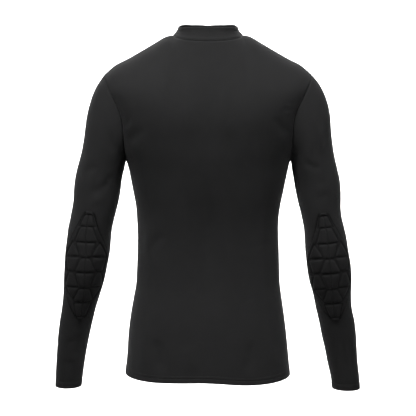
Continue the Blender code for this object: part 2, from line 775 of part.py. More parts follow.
def solid(name, points, faces, material):
    """A smooth-shaded object with its own material."""
    mesh = bpy.data.meshes.new(name)
    mesh.from_pydata([tuple(p) for p in points * MM], [], faces)
    mesh.update()
    for polygon in mesh.polygons:
        polygon.use_smooth = True
    mesh.set_sharp_from_angle(angle=EDGE_ANGLE)
    item = bpy.data.objects.new(name, mesh)
    bpy.context.scene.collection.objects.link(item)
    mesh.materials.append(material)
    return item


def cloth(name, colour, roughness):
    """A cloth material."""
    material = bpy.data.materials.new(name)
    material.use_nodes = True
    shader = material.node_tree.nodes["Principled BSDF"]
    shader.inputs["Base Color"].default_value = colour
    shader.inputs["Roughness"].default_value = roughness
    return material


def main():
    for item in list(bpy.data.objects):
        bpy.data.objects.remove(item, do_unlink=True)
    back = Piece(panel(True), False, False)
    front = Piece(panel(False), False, True)
    left = Piece(sleeve(1.0), True, False)
    right = Piece(sleeve(-1.0), True, True)
    last = 2 * HALF_COLUMNS
    neck_first = SHOULDER_COLUMNS
    neck_last = last - SHOULDER_COLUMNS
    back_neck = [(0, j) for j in range(neck_first, neck_last + 1)]
    front_neck = [(0, j) for j in range(neck_last - 1, neck_first, -1)]
    neckline = np.array([back.points[c] for c in back_neck] + [front.points[c] for c in front_neck])
    neck = Piece(collar(neckline), True, True)
    count = len(neckline)

    for first, end in ((0, neck_first), (neck_last, last)):
        cells = [(0, j) for j in range(first, end + 1)]
        below = [(1, j) for j in range(first, end + 1)]
        join(back, cells, below, front, cells, below)
    for column, inside in ((0, 1), (last, last - 1)):
        rows = range(CAP_ROWS, back.points.shape[0])
        cells = [(i, column) for i in rows]
        nearby = [(i, inside) for i in rows]
        join(back, cells, nearby, front, cells, nearby)
    for arm, column, inside in ((left, 0, 1), (right, last, last - 1)):
        for body, ring in ((back, range(0, CAP_ROWS + 1)), (front, range(RING_POINTS, CAP_ROWS - 1, -1))):
            ring_cells = [(0, k % RING_POINTS) for k in ring]
            ring_next = [(1, k % RING_POINTS) for k in ring]
            cells = [(i, column) for i in range(CAP_ROWS + 1)]
            nearby = [(i, inside) for i in range(CAP_ROWS + 1)]
            join(body, cells, nearby, arm, ring_cells, ring_next, ARMHOLE_GAP)
        for k in (0, CAP_ROWS):
            arm.pull[0, k] *= 0.5
    collar_back = [(0, k) for k in range(len(back_neck))]
    join(back, back_neck, [(1, j) for i, j in back_neck], neck, collar_back,
         [(1, k) for i, k in collar_back], NECK_GAP)
    whole_front = [(0, j) for j in range(neck_last, neck_first - 1, -1)]
    collar_front = [(0, k % count) for k in range(len(back_neck) - 1, count + 1)]
    join(front, whole_front, [(1, j) for i, j in whole_front], neck, collar_front,
         [(1, k) for i, k in collar_front], NECK_GAP)
    for k in (0, len(back_neck) - 1):
        neck.pull[0, k] *= 0.5
    meet((back, (0, neck_first)), (front, (0, neck_first)), (neck, (0, 0)))
    meet((back, (0, neck_last)), (front, (0, neck_last)), (neck, (0, len(back_neck) - 1)))
    for arm, column in ((left, 0), (right, last)):
        meet((back, (0, column)), (front, (0, column)), (arm, (0, 0)))
        meet((back, (CAP_ROWS, column)), (front, (CAP_ROWS, column)), (arm, (0, CAP_ROWS)))

    panel_wall = np.full((back.points.shape[0], 1, 1), WALL)
    panel_wall[-2:] = HEM_WALL
    sleeve_wall = np.full((len(SLEEVE), 1, 1), WALL)
    sleeve_wall[-2:] = HEM_WALL
    body_cloth = cloth("back_cloth", CLOTH, 0.85)
    front_cloth = cloth("front_cloth", PANEL_CLOTH, 0.85)
    left_cloth = cloth("left_sleeve_cloth", CLOTH, 0.86)
    right_cloth = cloth("right_sleeve_cloth", CLOTH, 0.87)
    collar_cloth = cloth("collar_cloth", COLLAR_CLOTH, 0.85)
    shell("back_panel", back.outer(), back.inner(panel_wall), False, False, body_cloth)
    shell("front_panel", front.outer(), front.inner(panel_wall), False, True, front_cloth)
    shell("sleeve_left", left.outer(), left.inner(sleeve_wall), True, False, left_cloth)
    shell("sleeve_right", right.outer(), right.inner(sleeve_wall), True, True, right_cloth)
    shell("collar", neck.outer(), neck.inner(COLLAR_WALL), True, True, collar_cloth)
    elbow_pad("elbow_pad_left", 1.0, cloth("left_pad_cloth", PAD_CLOTH, 0.80))
    elbow_pad("elbow_pad_right", -1.0, cloth("right_pad_cloth", PAD_CLOTH, 0.81))


main()
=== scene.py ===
# %% [markdown]
# # A padded compression shirt, worn and hollow
# The real shirt is sewn from a stretchy near-black knit: a back and a front, two
# set-in sleeves, a low stand-up collar and a quilted pad on the back of each elbow.
# It is shown filled out, as on a wearer, and seen from behind.
#
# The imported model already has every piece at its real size, as a solid cloth wall.
# This lesson dresses it. Each solid is replaced by a finer piece on the same form,
# with the creases, hems, seams and stitches that the solid is too coarse to hold.

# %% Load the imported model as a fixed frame
import math

import bpy
import numpy as np
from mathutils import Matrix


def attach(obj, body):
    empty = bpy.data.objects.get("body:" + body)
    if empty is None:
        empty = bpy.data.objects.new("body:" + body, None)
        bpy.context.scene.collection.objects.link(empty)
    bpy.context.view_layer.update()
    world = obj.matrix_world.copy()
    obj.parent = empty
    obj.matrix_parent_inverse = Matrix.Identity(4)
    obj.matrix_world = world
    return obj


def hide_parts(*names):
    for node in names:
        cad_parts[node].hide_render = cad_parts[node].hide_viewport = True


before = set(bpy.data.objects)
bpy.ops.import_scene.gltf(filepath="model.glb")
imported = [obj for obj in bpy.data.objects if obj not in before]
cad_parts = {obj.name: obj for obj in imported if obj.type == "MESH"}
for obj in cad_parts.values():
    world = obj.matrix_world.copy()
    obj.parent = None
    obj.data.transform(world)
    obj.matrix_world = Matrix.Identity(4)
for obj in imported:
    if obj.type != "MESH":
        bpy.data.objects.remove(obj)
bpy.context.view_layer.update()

MM = 0.001
# The wearer's sides. As a number each also mirrors a distance across.
LEFT = 1.0
RIGHT = -1.0
print("CAD nodes:", ", ".join(sorted(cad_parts)))

# %% [markdown]
# ## Sizes are tables, and shapes are read from them
# A worn shirt has no straight lines, so its form is given by short tables: a row for
# each height, a column for each width or depth. One could read them with straight
# lines, but every row would then show as a ridge in the cloth. A smooth reading,
# whose slope also runs on from row to row, keeps the cloth soft.

# %% Read a table smoothly
def unit(vectors):
    """Vectors of length one."""
    size = np.linalg.norm(vectors, axis=-1, keepdims=True)
    return vectors / np.maximum(size, 1e-9)


def table_of(*rows):
    """A table of numbers from its rows."""
    return np.array(rows, dtype=float)


def smooth(table, column, at):
    """A table's column between its rows, without corners."""
    order = np.argsort(table[:, 0])
    x = table[order, 0]
    y = table[order, column]
    step = np.diff(x)
    rise = np.diff(y) / step
    slope = np.empty_like(y)
    slope[1:-1] = (rise[:-1] * step[1:] + rise[1:] * step[:-1]) / (step[:-1] + step[1:])
    slope[0] = rise[0]
    slope[-1] = rise[-1]
    at = np.clip(np.asarray(at, dtype=float), x[0], x[-1])
    k = np.clip(np.searchsorted(x, at, side="right") - 1, 0, len(x) - 2)
    t = (at - x[k]) / step[k]
    start = (1.0 + 2.0 * t) * (1.0 - t) ** 2
    leave = t * (1.0 - t) ** 2
    end = t * t * (3.0 - 2.0 * t)
    arrive = t * t * (t - 1.0)
    return start * y[k] + leave * step[k] * slope[k] + end * y[k + 1] + arrive * step[k] * slope[k + 1]


def path_length(points, axis=0):
    """How far each point lies from the first one, along its own line of points."""
    steps = np.linalg.norm(np.diff(points, axis=axis), axis=-1).cumsum(axis=axis)
    return np.concatenate([0.0 * np.take(steps, [0], axis=axis), steps], axis=axis)


def fade(value, start, end):
    """Zero at start and one at end, with a soft way between them."""
    t = np.clip((value - start) / (end - start), 0.0, 1.0)
    return t * t * (3.0 - 2.0 * t)

# %% [markdown]
# ## The body of the shirt
# The tables below are the ones that the solids were made from, in millimetres. The
# origin is the middle of the neck opening, the front faces -Y and the wearer's left
# is +X. A section of the body is a rounded rectangle, a little flatter than an
# ellipse, as a chest is. Above the underarm the armholes cut it short.

# %% Sizes of the body
UNDERARM = -246.0
HEM = -679.0
HEM_DEPTH = 16.0
ROW_DIP = 42.0
ROW_DIP_POWER = 3.0
SHOULDER_POINT = (206.0, -2.0, -79.0)
NECK_POINT = (69.5, 0.0, 1.0)
TORSO_ROUNDNESS = 2.3
SHOULDER_ROUNDNESS = 2.2
ARMHOLE_HALF_DEPTH_BACK = 58.0
ARMHOLE_HALF_DEPTH_FRONT = 62.0
ARMHOLE_FULLNESS = 0.9

# Height, half width left, half width right, back depth, front depth.
TORSO = table_of(
    (40, 246, 246, 86, 84),
    (0, 242, 242, 88, 88),
    (-40, 238, 238, 90, 93),
    (-80, 231, 231, 98, 104),
    (-103, 221, 221, 103, 110),
    (-130, 203, 203, 108, 115),
    (-160, 189, 190, 111, 119),
    (-200, 178, 180, 110, 119),
    (-225, 169, 171, 109, 116),
    (-246, 163, 164, 107, 114),
    (-262, 158.5, 160.2, 105, 112),
    (-285, 153.8, 155.4, 102, 109),
    (-310, 149.2, 150.5, 98, 106),
    (-340, 144, 144.4, 93, 102),
    (-370, 142, 141, 89, 99),
    (-400, 141, 140.9, 87, 97),
    (-430, 141.5, 142.2, 87, 96),
    (-470, 143, 143.4, 89, 97),
    (-500, 145, 144.8, 92, 99),
    (-530, 150.4, 148.9, 97, 101),
    (-560, 155.6, 153.2, 102, 103),
    (-600, 160.6, 158.2, 107, 105),
    (-640, 163.2, 162.2, 111, 107),
    (-679, 167, 166, 114, 108))

# Shoulder seam. Distance from the middle, height.
SHOULDER = table_of(
    (69.5, 1),
    (81, -1.5),
    (103, -14),
    (131, -30.5),
    (158, -46),
    (187, -61.5),
    (206, -79))

# Top of the body under the seams. Distance from the middle, height, depth of its round.
BODY_TOP = table_of(
    (0, 25, 185),
    (35, 16, 185),
    (69.5, 1.5, 181),
    (81, -3.6, 178),
    (103, -14.4, 168),
    (131, -30.5, 150),
    (158, -46.5, 126),
    (187, -63.5, 100),
    (206, -79, 86),
    (250, -128, 80))

# Armhole. Height, distance from the middle at the back, at the front.
ARMHOLE = table_of(
    (-79, 206, 206),
    (-90, 201.5, 198),
    (-103, 195, 188),
    (-130, 180.5, 171),
    (-155, 170.5, 162),
    (-180, 167, 158.5),
    (-200, 166, 158),
    (-222, 164.5, 160),
    (-246, 163, 163))

# Neckline. Angle from the side, distance out, distance back or front, height.
NECK_BACK = table_of(
    (0, 69.5, 0, 1),
    (30, 61, 29, -3),
    (60, 36, 52, -5.5),
    (90, 0, 60, -6.5))
NECK_FRONT = table_of(
    (0, 69.5, 0, 1),
    (30, 62, 30, -6),
    (60, 37, 56, -17),
    (90, 0, 66, -23))

# Hem line. Distance to the wearer's left, height at the back, at the front.
HEM_LINE = table_of(
    (-170, -682, -682),
    (-130, -683.5, -681.5),
    (-90, -683, -681),
    (-60, -681, -680.5),
    (-30, -678, -680),
    (5, -676, -679.5),
    (40, -676.5, -679.5),
    (80, -678, -679),
    (120, -679.5, -679),
    (170, -679, -679))

# Soft swells and hollows. Side of the middle, height, half width, half height, out.
BACK_FORMS = (
    (118, -118, 46, 50, 5),
    (-128, -122, 46, 50, 5),
    (84, -268, 40, 60, -3.5),
    (-86, -256, 40, 60, -3.5),
    (0, -150, 20, 90, -4),
    (0, -390, 26, 130, -5),
    (48, -400, 26, 110, 2.5),
    (-48, -400, 26, 110, 2.5))
FRONT_FORMS = (
    (74, -175, 52, 46, 6),
    (-74, -175, 52, 46, 6),
    (0, -180, 18, 60, -5),
    (0, -330, 20, 120, -3))

# %% [markdown]
# ## How fine the cloth is
# The solids have a point about every two centimetres, which is enough for a robot's
# gripper. Creases a few millimetres wide need many more, so the same surface is read
# again with a point about every three millimetres. Beside a seam and in a hem the rows
# crowd to less than one, because a seam's valley is only that wide. Every seam still
# has one set of points, which both of its pieces use, so they stay together.

# %% Count the points
CAP_ROWS = 64
BODY_ROWS = 112
HEM_ROWS = 24
SHOULDER_COLUMNS = 34
NECK_COLUMNS = 40
HALF_COLUMNS = SHOULDER_COLUMNS + NECK_COLUMNS
RING_POINTS = 2 * CAP_ROWS
CROWD_SHARE = 0.86
CROWD_REACH = 5.0
SEAM_FADE = 4.0
FINE_ABOVE_STITCHES = 4.0


def crowded(count):
    """Shares from zero to one that start close together."""
    steps = 1.0 - CROWD_SHARE * np.exp(-np.arange(count) / CROWD_REACH)
    return np.concatenate([[0.0], steps.cumsum() / steps.sum()])


cap_shares = crowded(CAP_ROWS)
shoulder_shares = crowded(SHOULDER_COLUMNS)
neck_shares = np.linspace(0.0, 1.0, NECK_COLUMNS + 1)
NECK_PLACE = SHOULDER_COLUMNS / HALF_COLUMNS
column_shares = np.concatenate([
    NECK_PLACE * shoulder_shares, NECK_PLACE + (1.0 - NECK_PLACE) * neck_shares[1:]])
ring_angles = math.pi * np.concatenate([cap_shares, 2.0 - cap_shares[-2:0:-1]])


# %% Lines where the pieces are sewn together
def armhole_points(back):
    """The armhole's edge from the shoulder point to the underarm."""
    angle = math.pi * cap_shares
    top = SHOULDER_POINT[2]
    z = 0.5 * (top + UNDERARM) + 0.5 * (top - UNDERARM) * np.cos(angle)
    x = smooth(ARMHOLE, 1 if back else 2, z)
    half = ARMHOLE_HALF_DEPTH_BACK if back else -ARMHOLE_HALF_DEPTH_FRONT
    middle = SHOULDER_POINT[1] * (0.5 + 0.5 * np.cos(angle))
    y = middle + half * np.sin(angle) ** ARMHOLE_FULLNESS
    return np.stack([x, y, z], axis=1)


def shoulder_points():
    """The shoulder seam from the shoulder point to the neck point."""
    x, y = [a + (b - a) * shoulder_shares for a, b in zip(SHOULDER_POINT[:2], NECK_POINT[:2])]
    return np.stack([x, y, smooth(SHOULDER, 1, x)], axis=1)


def neckline_points(back):
    """Half of the neckline from the neck point to the middle."""
    table = NECK_BACK if back else NECK_FRONT
    angle = np.linspace(0.0, 90.0, NECK_COLUMNS + 1)
    turn = np.radians(angle)
    x = 0.5 * smooth(table, 1, angle) + 0.5 * NECK_POINT[0] * np.cos(turn)
    y = 0.5 * smooth(table, 2, angle) + 0.5 * table[-1, 2] * np.sin(turn)
    x[-1] = 0.0
    return np.stack([x, y if back else -y, smooth(table, 3, angle)], axis=1)

# %% [markdown]
# ## The skin between the seams
# A panel's points could be pulled straight from seam to seam, but then the back would
# be flat. They could also be laid out by height and given a depth, but the shoulders
# round over the top, where the depth would change in no height at all. So the yoke is
# laid out by how far it has turned round the top, which runs evenly from the shoulder
# seam down. Close to a seam the cloth is eased on to the seam's own points.

# %% How deep the body is at any place
def forms(table, x, z):
    """Soft swells and hollows added to a depth."""
    total = np.zeros(np.broadcast(x, z).shape)
    for middle, height, wide, tall, out in table:
        total = total + out * np.exp(-((x - middle) / wide) ** 2 - ((z - height) / tall) ** 2)
    return total


def torso_width(side, z):
    """Half the body's width at a height, on one side."""
    return smooth(TORSO, 1 if side > 0 else 2, z)


def torso_depth(back, place, z):
    """The body's full depth behind or in front, with its swells and hollows."""
    return smooth(TORSO, 3 if back else 4, z) + forms(BACK_FORMS if back else FRONT_FORMS, place, z)


def cap_turn(across, z):
    """How far a place lies round the top of the body: zero on top, a quarter turn below."""
    line = smooth(BODY_TOP, 1, np.abs(across))
    top = smooth(BODY_TOP, 2, np.abs(across))
    rise = (z - line + top) / top
    round_part = np.arccos(np.clip(rise, 0.0, 1.0) ** (0.5 * SHOULDER_ROUNDNESS))
    return round_part + np.maximum(-rise, 0.0)


def cap_height(across, turn):
    """The height at a place round the top of the body. It undoes cap_turn."""
    line = smooth(BODY_TOP, 1, np.abs(across))
    top = smooth(BODY_TOP, 2, np.abs(across))
    round_part = np.clip(turn, 0.0, 0.5 * math.pi)
    rise = np.clip(np.cos(round_part), 0.0, 1.0) ** (2.0 / SHOULDER_ROUNDNESS)
    return line - top * (1.0 - rise) - top * (turn - round_part)


def cap_share(turn):
    """How much of its depth the body has at a place round its top."""
    return np.sin(np.clip(turn, 0.0, 0.5 * math.pi)) ** (2.0 / SHOULDER_ROUNDNESS)


ARMHOLE_RULES = (-92.0, -128.0)


def armhole_spread(back):
    """Heights along the armhole and the width at which each section closes."""
    edge = armhole_points(back)[::-1]
    depth = smooth(TORSO, 3 if back else 4, edge[:, 2]) * cap_share(cap_turn(edge[:, 0], edge[:, 2]))
    share = np.clip(np.abs(edge[:, 1]) / np.maximum(depth, 1.0), 0.0, 0.9)
    share[0] = 0.0
    width = edge[:, 0] / (1.0 - share ** TORSO_ROUNDNESS) ** (1.0 / TORSO_ROUNDNESS)
    width[-1] = width[-2]
    return np.stack([edge[:, 2], width], axis=1)


def body_depth(across, z, side, back):
    """How far back or front a section of the body lies, with no regard to its top."""
    given = torso_width(side, z)
    cut_short = smooth(armhole_spread(back), 1, z)
    near_armhole = fade(z, *ARMHOLE_RULES) * (z > UNDERARM)
    width = given + (cut_short - given) * near_armhole
    share = np.clip(np.abs(across) / width, 0.0, 1.0)
    reach = (1.0 - share ** TORSO_ROUNDNESS) ** (1.0 / TORSO_ROUNDNESS)
    return torso_depth(back, across * side, z) * reach


# %% Lay out half a panel
def yoke(side, back, turn):
    """The part of half a panel above the underarm, as it lies between its seams."""
    sign = 1.0 if back else -1.0
    seam = shoulder_points()
    neck = neckline_points(back)[1:]
    arm = armhole_points(back)
    u = column_shares
    v = cap_shares
    low_z = UNDERARM - row_dip(u)
    low_x = torso_width(side, low_z) * np.cos(turn) ** (2.0 / TORSO_ROUNDNESS)
    low_x[-1] = 0.0
    low_x[0] = arm[-1, 0]
    neck_share = np.abs(neck[:, 1]) / body_depth(neck[:, 0], neck[:, 2], side, back)
    neck_turn = np.arcsin(np.clip(neck_share, 0.0, 1.0) ** (0.5 * SHOULDER_ROUNDNESS))
    top = np.concatenate([seam, neck])
    edge_top = np.stack([top[:, 0], np.concatenate([0.0 * seam[:, 0], neck_turn])], axis=1)
    edge_low = np.stack([low_x, cap_turn(low_x, low_z)], axis=1)
    edge_arm = np.stack([arm[:, 0], cap_turn(arm[:, 0], arm[:, 2])], axis=1)
    edge_arm[0] = edge_top[0]
    middle = np.stack([0.0 * v, edge_top[-1, 1] + (edge_low[-1, 1] - edge_top[-1, 1]) * v], axis=1)
    u = u[None, :, None]
    v = v[:, None, None]
    flat = (1.0 - v) * edge_top[None] + v * edge_low[None]
    flat = flat + (1.0 - u) * edge_arm[:, None] + u * middle[:, None]
    flat = flat - (1.0 - u) * (1.0 - v) * edge_top[0] - u * (1.0 - v) * edge_top[-1]
    flat = flat - (1.0 - u) * v * edge_low[0] - u * v * edge_low[-1]
    x = flat[..., 0]
    z = cap_height(x, flat[..., 1])
    y = sign * body_depth(x, z, side, back) * cap_share(flat[..., 1])
    skin = np.stack([x, y, z], axis=-1)
    ease_top = (1.0 - v) ** SEAM_FADE
    ease_arm = (1.0 - u) ** SEAM_FADE
    miss_top = top - skin[0]
    miss_arm = arm - skin[:, 0]
    return skin + ease_top * miss_top[None] + ease_arm * miss_arm[:, None] - ease_top * ease_arm * miss_top[0]


def row_dip(u):
    """How far the underarm row hangs below the underarm, towards the middle."""
    return ROW_DIP * (1.0 - (1.0 - u) ** ROW_DIP_POWER)


def half_panel(side, back):
    """Points of half a panel, from its side edge to its middle."""
    sign = 1.0 if back else -1.0
    u = column_shares
    turn = u * 0.5 * math.pi
    hem_share = (HEM_DEPTH + FINE_ABOVE_STITCHES) / (UNDERARM - HEM)
    fall = np.concatenate([
        np.linspace(0.0, 1.0 - hem_share, BODY_ROWS + 1)[1:],
        np.linspace(1.0 - hem_share, 1.0, HEM_ROWS + 1)[1:]])[:, None]
    z = UNDERARM + (HEM - UNDERARM) * fall - row_dip(u) * (1.0 - fall)
    across = torso_width(side, z) * np.cos(turn) ** (2.0 / TORSO_ROUNDNESS)
    across[:, -1] = 0.0
    z = z + (smooth(HEM_LINE, 1 if back else 2, across * side) - HEM) * fall ** 4
    away = torso_depth(back, across * side, z) * np.sin(turn) ** (2.0 / TORSO_ROUNDNESS)
    points = np.concatenate([yoke(side, back, turn), np.stack([across, sign * away, z], axis=-1)])
    points[..., 0] *= side
    return points


# %% [markdown]
# ## Tight cloth has no kinks
# Easing the yoke on to its seams leaves faint kinks. They could be brushed away by hand
# in sculpt mode, but nobody could repeat that. So each point of the yoke is drawn a
# little towards its neighbours, then pushed back by nearly as much, many times over.
# Short kinks die away, while the broad round of the back stays.

# %% Calm the yoke and join the halves
CALM_PASSES = 40
CALM_PULLS = (0.60, -0.62)
CALM_ROWS = (CAP_ROWS + 26, CAP_ROWS + 6)


def calmed(points):
    """Points evened out with their neighbours in the yoke. The seams are held."""
    free = np.zeros(points.shape[:2])
    free[1:-1, 1:-1] = fade(np.arange(1.0, len(points) - 1.0), *CALM_ROWS)[:, None]
    free = free[1:-1, 1:-1, None]
    down = 1.0 / np.linalg.norm(np.diff(points, axis=0), axis=-1)[:, 1:-1, None]
    along = 1.0 / np.linalg.norm(np.diff(points, axis=1), axis=-1)[1:-1, :, None]
    total = down[:-1] + down[1:] + along[:, :-1] + along[:, 1:]
    moved = points.copy()
    for step in range(CALM_PASSES):
        for pull in CALM_PULLS:
            inner = moved[1:-1, 1:-1]
            mean = moved[:-2, 1:-1] * down[:-1] + moved[2:, 1:-1] * down[1:]
            mean = mean + moved[1:-1, :-2] * along[:, :-1] + moved[1:-1, 2:] * along[:, 1:]
            moved[1:-1, 1:-1] = inner + pull * free * (mean / total - inner)
    return moved


def panel(back):
    """Points of a whole panel, from the wearer's left to the right."""
    left = half_panel(LEFT, back)
    right = half_panel(RIGHT, back)
    return calmed(np.concatenate([left, right[:, -2::-1]], axis=1))


back_points = panel(True)
front_points = panel(False)
print("Body panels:", back_points.shape[0], "rows of", back_points.shape[1], "points")

# %% [markdown]
# ## The sleeves
# A set-in sleeve starts at the armhole, on a ring that stands almost upright, and ends
# at the cuff, on one that lies almost level. The rings between them turn from the one
# to the other. Each ring is an ellipse: the outline seen from behind gives its width,
# and the table gives how deep it is and how far the arm has swung forward.

# %% Sizes of the sleeves
CUFF_LIFT = {LEFT: 3.0, RIGHT: -2.0}
CUFF_LIFT_FROM = -600.0
CUFF_DEPTH = 14.0
SLEEVE_ROWS = 214
CUFF_ROWS = 22
ARMHOLE_EASE_RINGS = 7.0

# Outline seen from behind. Height, left sleeve, right sleeve.
SLEEVE_OUTER = table_of(
    (-79, 206, 206),
    (-88, 212.5, 214.4),
    (-96, 218.1, 220.4),
    (-108, 224.6, 227.3),
    (-122, 230.4, 233.5),
    (-140, 236, 239.1),
    (-160, 240.7, 242.7),
    (-185, 244.3, 244.6),
    (-210, 247.8, 247.2),
    (-235, 252.8, 251),
    (-265, 261.1, 257.8),
    (-285, 265.3, 262.5),
    (-305, 267.7, 264.7),
    (-325, 268.6, 265.3),
    (-345, 271.8, 265.3),
    (-365, 275.8, 268.1),
    (-385, 280, 273.2),
    (-405, 282.6, 277.6),
    (-430, 286, 281.6),
    (-460, 288.2, 286.8),
    (-490, 290.2, 289.2),
    (-520, 292, 289),
    (-550, 295.6, 291),
    (-580, 300.8, 297.5),
    (-610, 304.9, 301.4),
    (-640, 307.8, 303.7),
    (-670, 310.2, 306.2),
    (-700, 312.3, 310.1),
    (-724, 313.4, 312.2))
SLEEVE_INNER = table_of(
    (-246, 163, 163),
    (-250, 163.6, 164.6),
    (-265, 166.7, 166.9),
    (-285, 171.2, 170.5),
    (-305, 173.8, 173.7),
    (-325, 177.1, 177.9),
    (-345, 181.8, 182.9),
    (-365, 187, 187.8),
    (-385, 191.4, 191.6),
    (-405, 193.8, 193.2),
    (-430, 196, 194.8),
    (-460, 201.7, 198.1),
    (-490, 208, 203),
    (-520, 216.9, 211.5),
    (-550, 226.3, 217.7),
    (-580, 233.8, 224.8),
    (-610, 240.7, 230.9),
    (-640, 246.8, 238.1),
    (-670, 251.9, 244.3),
    (-700, 256.2, 251.3),
    (-724, 259.6, 255))

# Rings. Outer height, inner height, how far back the middle lies, half the depth.
SLEEVE = table_of(
    (-79, -246, -3, 60),
    (-95, -248.6, -2.5, 59.5),
    (-114, -251.2, -2, 59),
    (-136, -253.8, -1, 58),
    (-160, -256.6, 0, 57),
    (-186, -260, 0.5, 55.5),
    (-214, -265, 1, 54),
    (-244, -274, 1.5, 52.5),
    (-275, -288, 2, 51),
    (-304, -308, 3, 49.5),
    (-332, -332, 4, 48.5),
    (-356, -356, 4.5, 47.5),
    (-380, -380, 5, 47),
    (-404, -404, 5, 46.8),
    (-428, -428, 4.5, 46.5),
    (-452, -452, 3.5, 46),
    (-476, -476, 0.5, 45),
    (-500, -500, -4, 43.5),
    (-524, -524, -9, 41.5),
    (-548, -548, -14, 39.5),
    (-574, -574, -19.5, 37.5),
    (-602, -602, -25.5, 35.5),
    (-632, -632, -32, 33.5),
    (-664, -664, -38.5, 31.5),
    (-708, -708, -47, 29.5),
    (-709.5, -709.5, -47.3, 29.5),
    (-724, -723, -50, 29))


# %% The sleeves' surface
def sleeve_ring(side, outer, angle):
    """Points round the sleeve at one place down its outside."""
    column = 1 if side > 0 else 2
    inner = smooth(SLEEVE, 1, outer)
    out_x = smooth(SLEEVE_OUTER, column, outer)
    in_x = smooth(SLEEVE_INNER, column, inner)
    middle = smooth(SLEEVE, 2, outer)
    half = smooth(SLEEVE, 3, outer)
    x = 0.5 * (out_x + in_x) + 0.5 * (out_x - in_x) * np.cos(angle)
    z = 0.5 * (outer + inner) + 0.5 * (outer - inner) * np.cos(angle)
    below = np.clip((CUFF_LIFT_FROM - z) / (CUFF_LIFT_FROM - SLEEVE[-1, 0]), 0.0, 1.0)
    z = z + CUFF_LIFT[side] * below * below
    return np.stack([x * side, middle + half * np.sin(angle), z], axis=-1)


def sleeve_heights():
    """Where the rings lie down the outside of the arm, and their number in the table."""
    cuff_from = SLEEVE[-1, 0] + CUFF_DEPTH + FINE_ABOVE_STITCHES
    long_part = SLEEVE[0, 0] + (cuff_from - SLEEVE[0, 0]) * crowded(SLEEVE_ROWS)
    cuff_part = np.linspace(cuff_from, SLEEVE[-1, 0], CUFF_ROWS + 1)[1:]
    heights = np.concatenate([long_part, cuff_part])
    return heights, np.interp(-heights, -SLEEVE[:, 0], np.arange(len(SLEEVE)))


def sleeve(side):
    """Points of a sleeve, ring by ring from the armhole to the cuff."""
    heights, numbers = sleeve_heights()
    rings = sleeve_ring(side, heights[:, None], ring_angles[None, :])
    edge = np.concatenate([armhole_points(True), armhole_points(False)[-2:0:-1]])
    edge[:, 0] *= side
    ease = (1.0 - np.clip(numbers / ARMHOLE_EASE_RINGS, 0.0, 1.0)) ** 2
    return rings + ease[:, None, None] * (edge - rings[0])


left_sleeve_points = sleeve(LEFT)
right_sleeve_points = sleeve(RIGHT)
print("Sleeves:", left_sleeve_points.shape[0], "rings of", RING_POINTS, "points")

# %% [markdown]
# ## The collar
# The collar is one band, folded at its top edge and sewn round the neckline. It leans
# in towards the neck a little more as it rises, and it stands highest at the front,
# because the neckline dips there and the rim runs almost level.

# %% The collar's surface
COLLAR_RISE_BACK = 25.5
COLLAR_RISE_SIDE = 15.0
COLLAR_RISE_FRONT = 37.5
COLLAR_RISE_POWER = 1.3
COLLAR_LEAN = 7.5
COLLAR_SIDE_LEAN = 2.5
COLLAR_LEAN_POWER = 1.8
COLLAR_ROWS = 22


def collar(neckline):
    """Points of the collar, from the neckline up to its rim."""
    count = len(neckline)
    turn = 2.0 * math.pi * np.arange(count) / count
    back = np.clip(np.sin(turn), 0.0, 1.0) ** COLLAR_RISE_POWER
    front = np.clip(-np.sin(turn), 0.0, 1.0) ** COLLAR_RISE_POWER
    rise = COLLAR_RISE_SIDE + (COLLAR_RISE_BACK - COLLAR_RISE_SIDE) * back
    rise = rise + (COLLAR_RISE_FRONT - COLLAR_RISE_SIDE) * front
    outward = unit(neckline * (1.0, 1.0, 0.0))
    share = np.linspace(0.0, 1.0, COLLAR_ROWS + 1)[:, None]
    lean = (COLLAR_LEAN + COLLAR_SIDE_LEAN * np.cos(turn) ** 2) * (1.0 - (1.0 - share) ** COLLAR_LEAN_POWER)
    points = neckline[None] - outward[None] * lean[..., None]
    points[..., 2] += rise * share
    return points


back_half = neckline_points(True)
front_half = neckline_points(False)
mirror = np.array([-1.0, 1.0, 1.0])
neckline = np.concatenate([
    back_half, back_half[-2::-1] * mirror, front_half[1:] * mirror, front_half[-2:0:-1]])
collar_points = collar(neckline)
print("Neckline:", round(float(np.linalg.norm(np.diff(neckline, axis=0), axis=1).sum())), "mm round")

# %% [markdown]
# ## Creases, placed one by one
# A compression shirt is tight, so it has few folds: short pulls beside the armholes,
# soft troughs at the waist and above the hem, and fine rings where a sleeve bends.
# A cloth simulation would place its own. Here each crease is a row in a table: where
# it starts and ends, how much it bows, how wide it is and how far it goes in or out.
# A trough pushes up a low lip on both of its sides, as cloth does.

# %% Work out a crease
LIP_SHARE = 0.2
LIP_PLACE = 1.9
# Where along its length a crease starts, and where it has its full depth.
CREASE_START = -0.05
CREASE_WHOLE = 0.35


def creases(table, across, height):
    """How far out the cloth moves at each point, for a table of creases."""
    total = np.zeros_like(across)
    for x1, z1, x2, z2, bow, wide, out in table:
        length = math.hypot(x2 - x1, z2 - z1)
        ahead = ((x2 - x1) / length, (z2 - z1) / length)
        along = ((across - x1) * ahead[0] + (height - z1) * ahead[1]) / length
        off = (height - z1) * ahead[0] - (across - x1) * ahead[1]
        off = off - bow * 4.0 * along * (1.0 - along)
        ends = fade(along, CREASE_START, CREASE_WHOLE)
        ends = ends * fade(along, 1.0 - CREASE_START, 1.0 - CREASE_WHOLE)
        trough = np.exp(-(off / wide) ** 2)
        lip = np.exp(-((np.abs(off) - LIP_PLACE * wide) / wide) ** 2)
        total = total + out * ends * (trough - LIP_SHARE * lip)
    return total


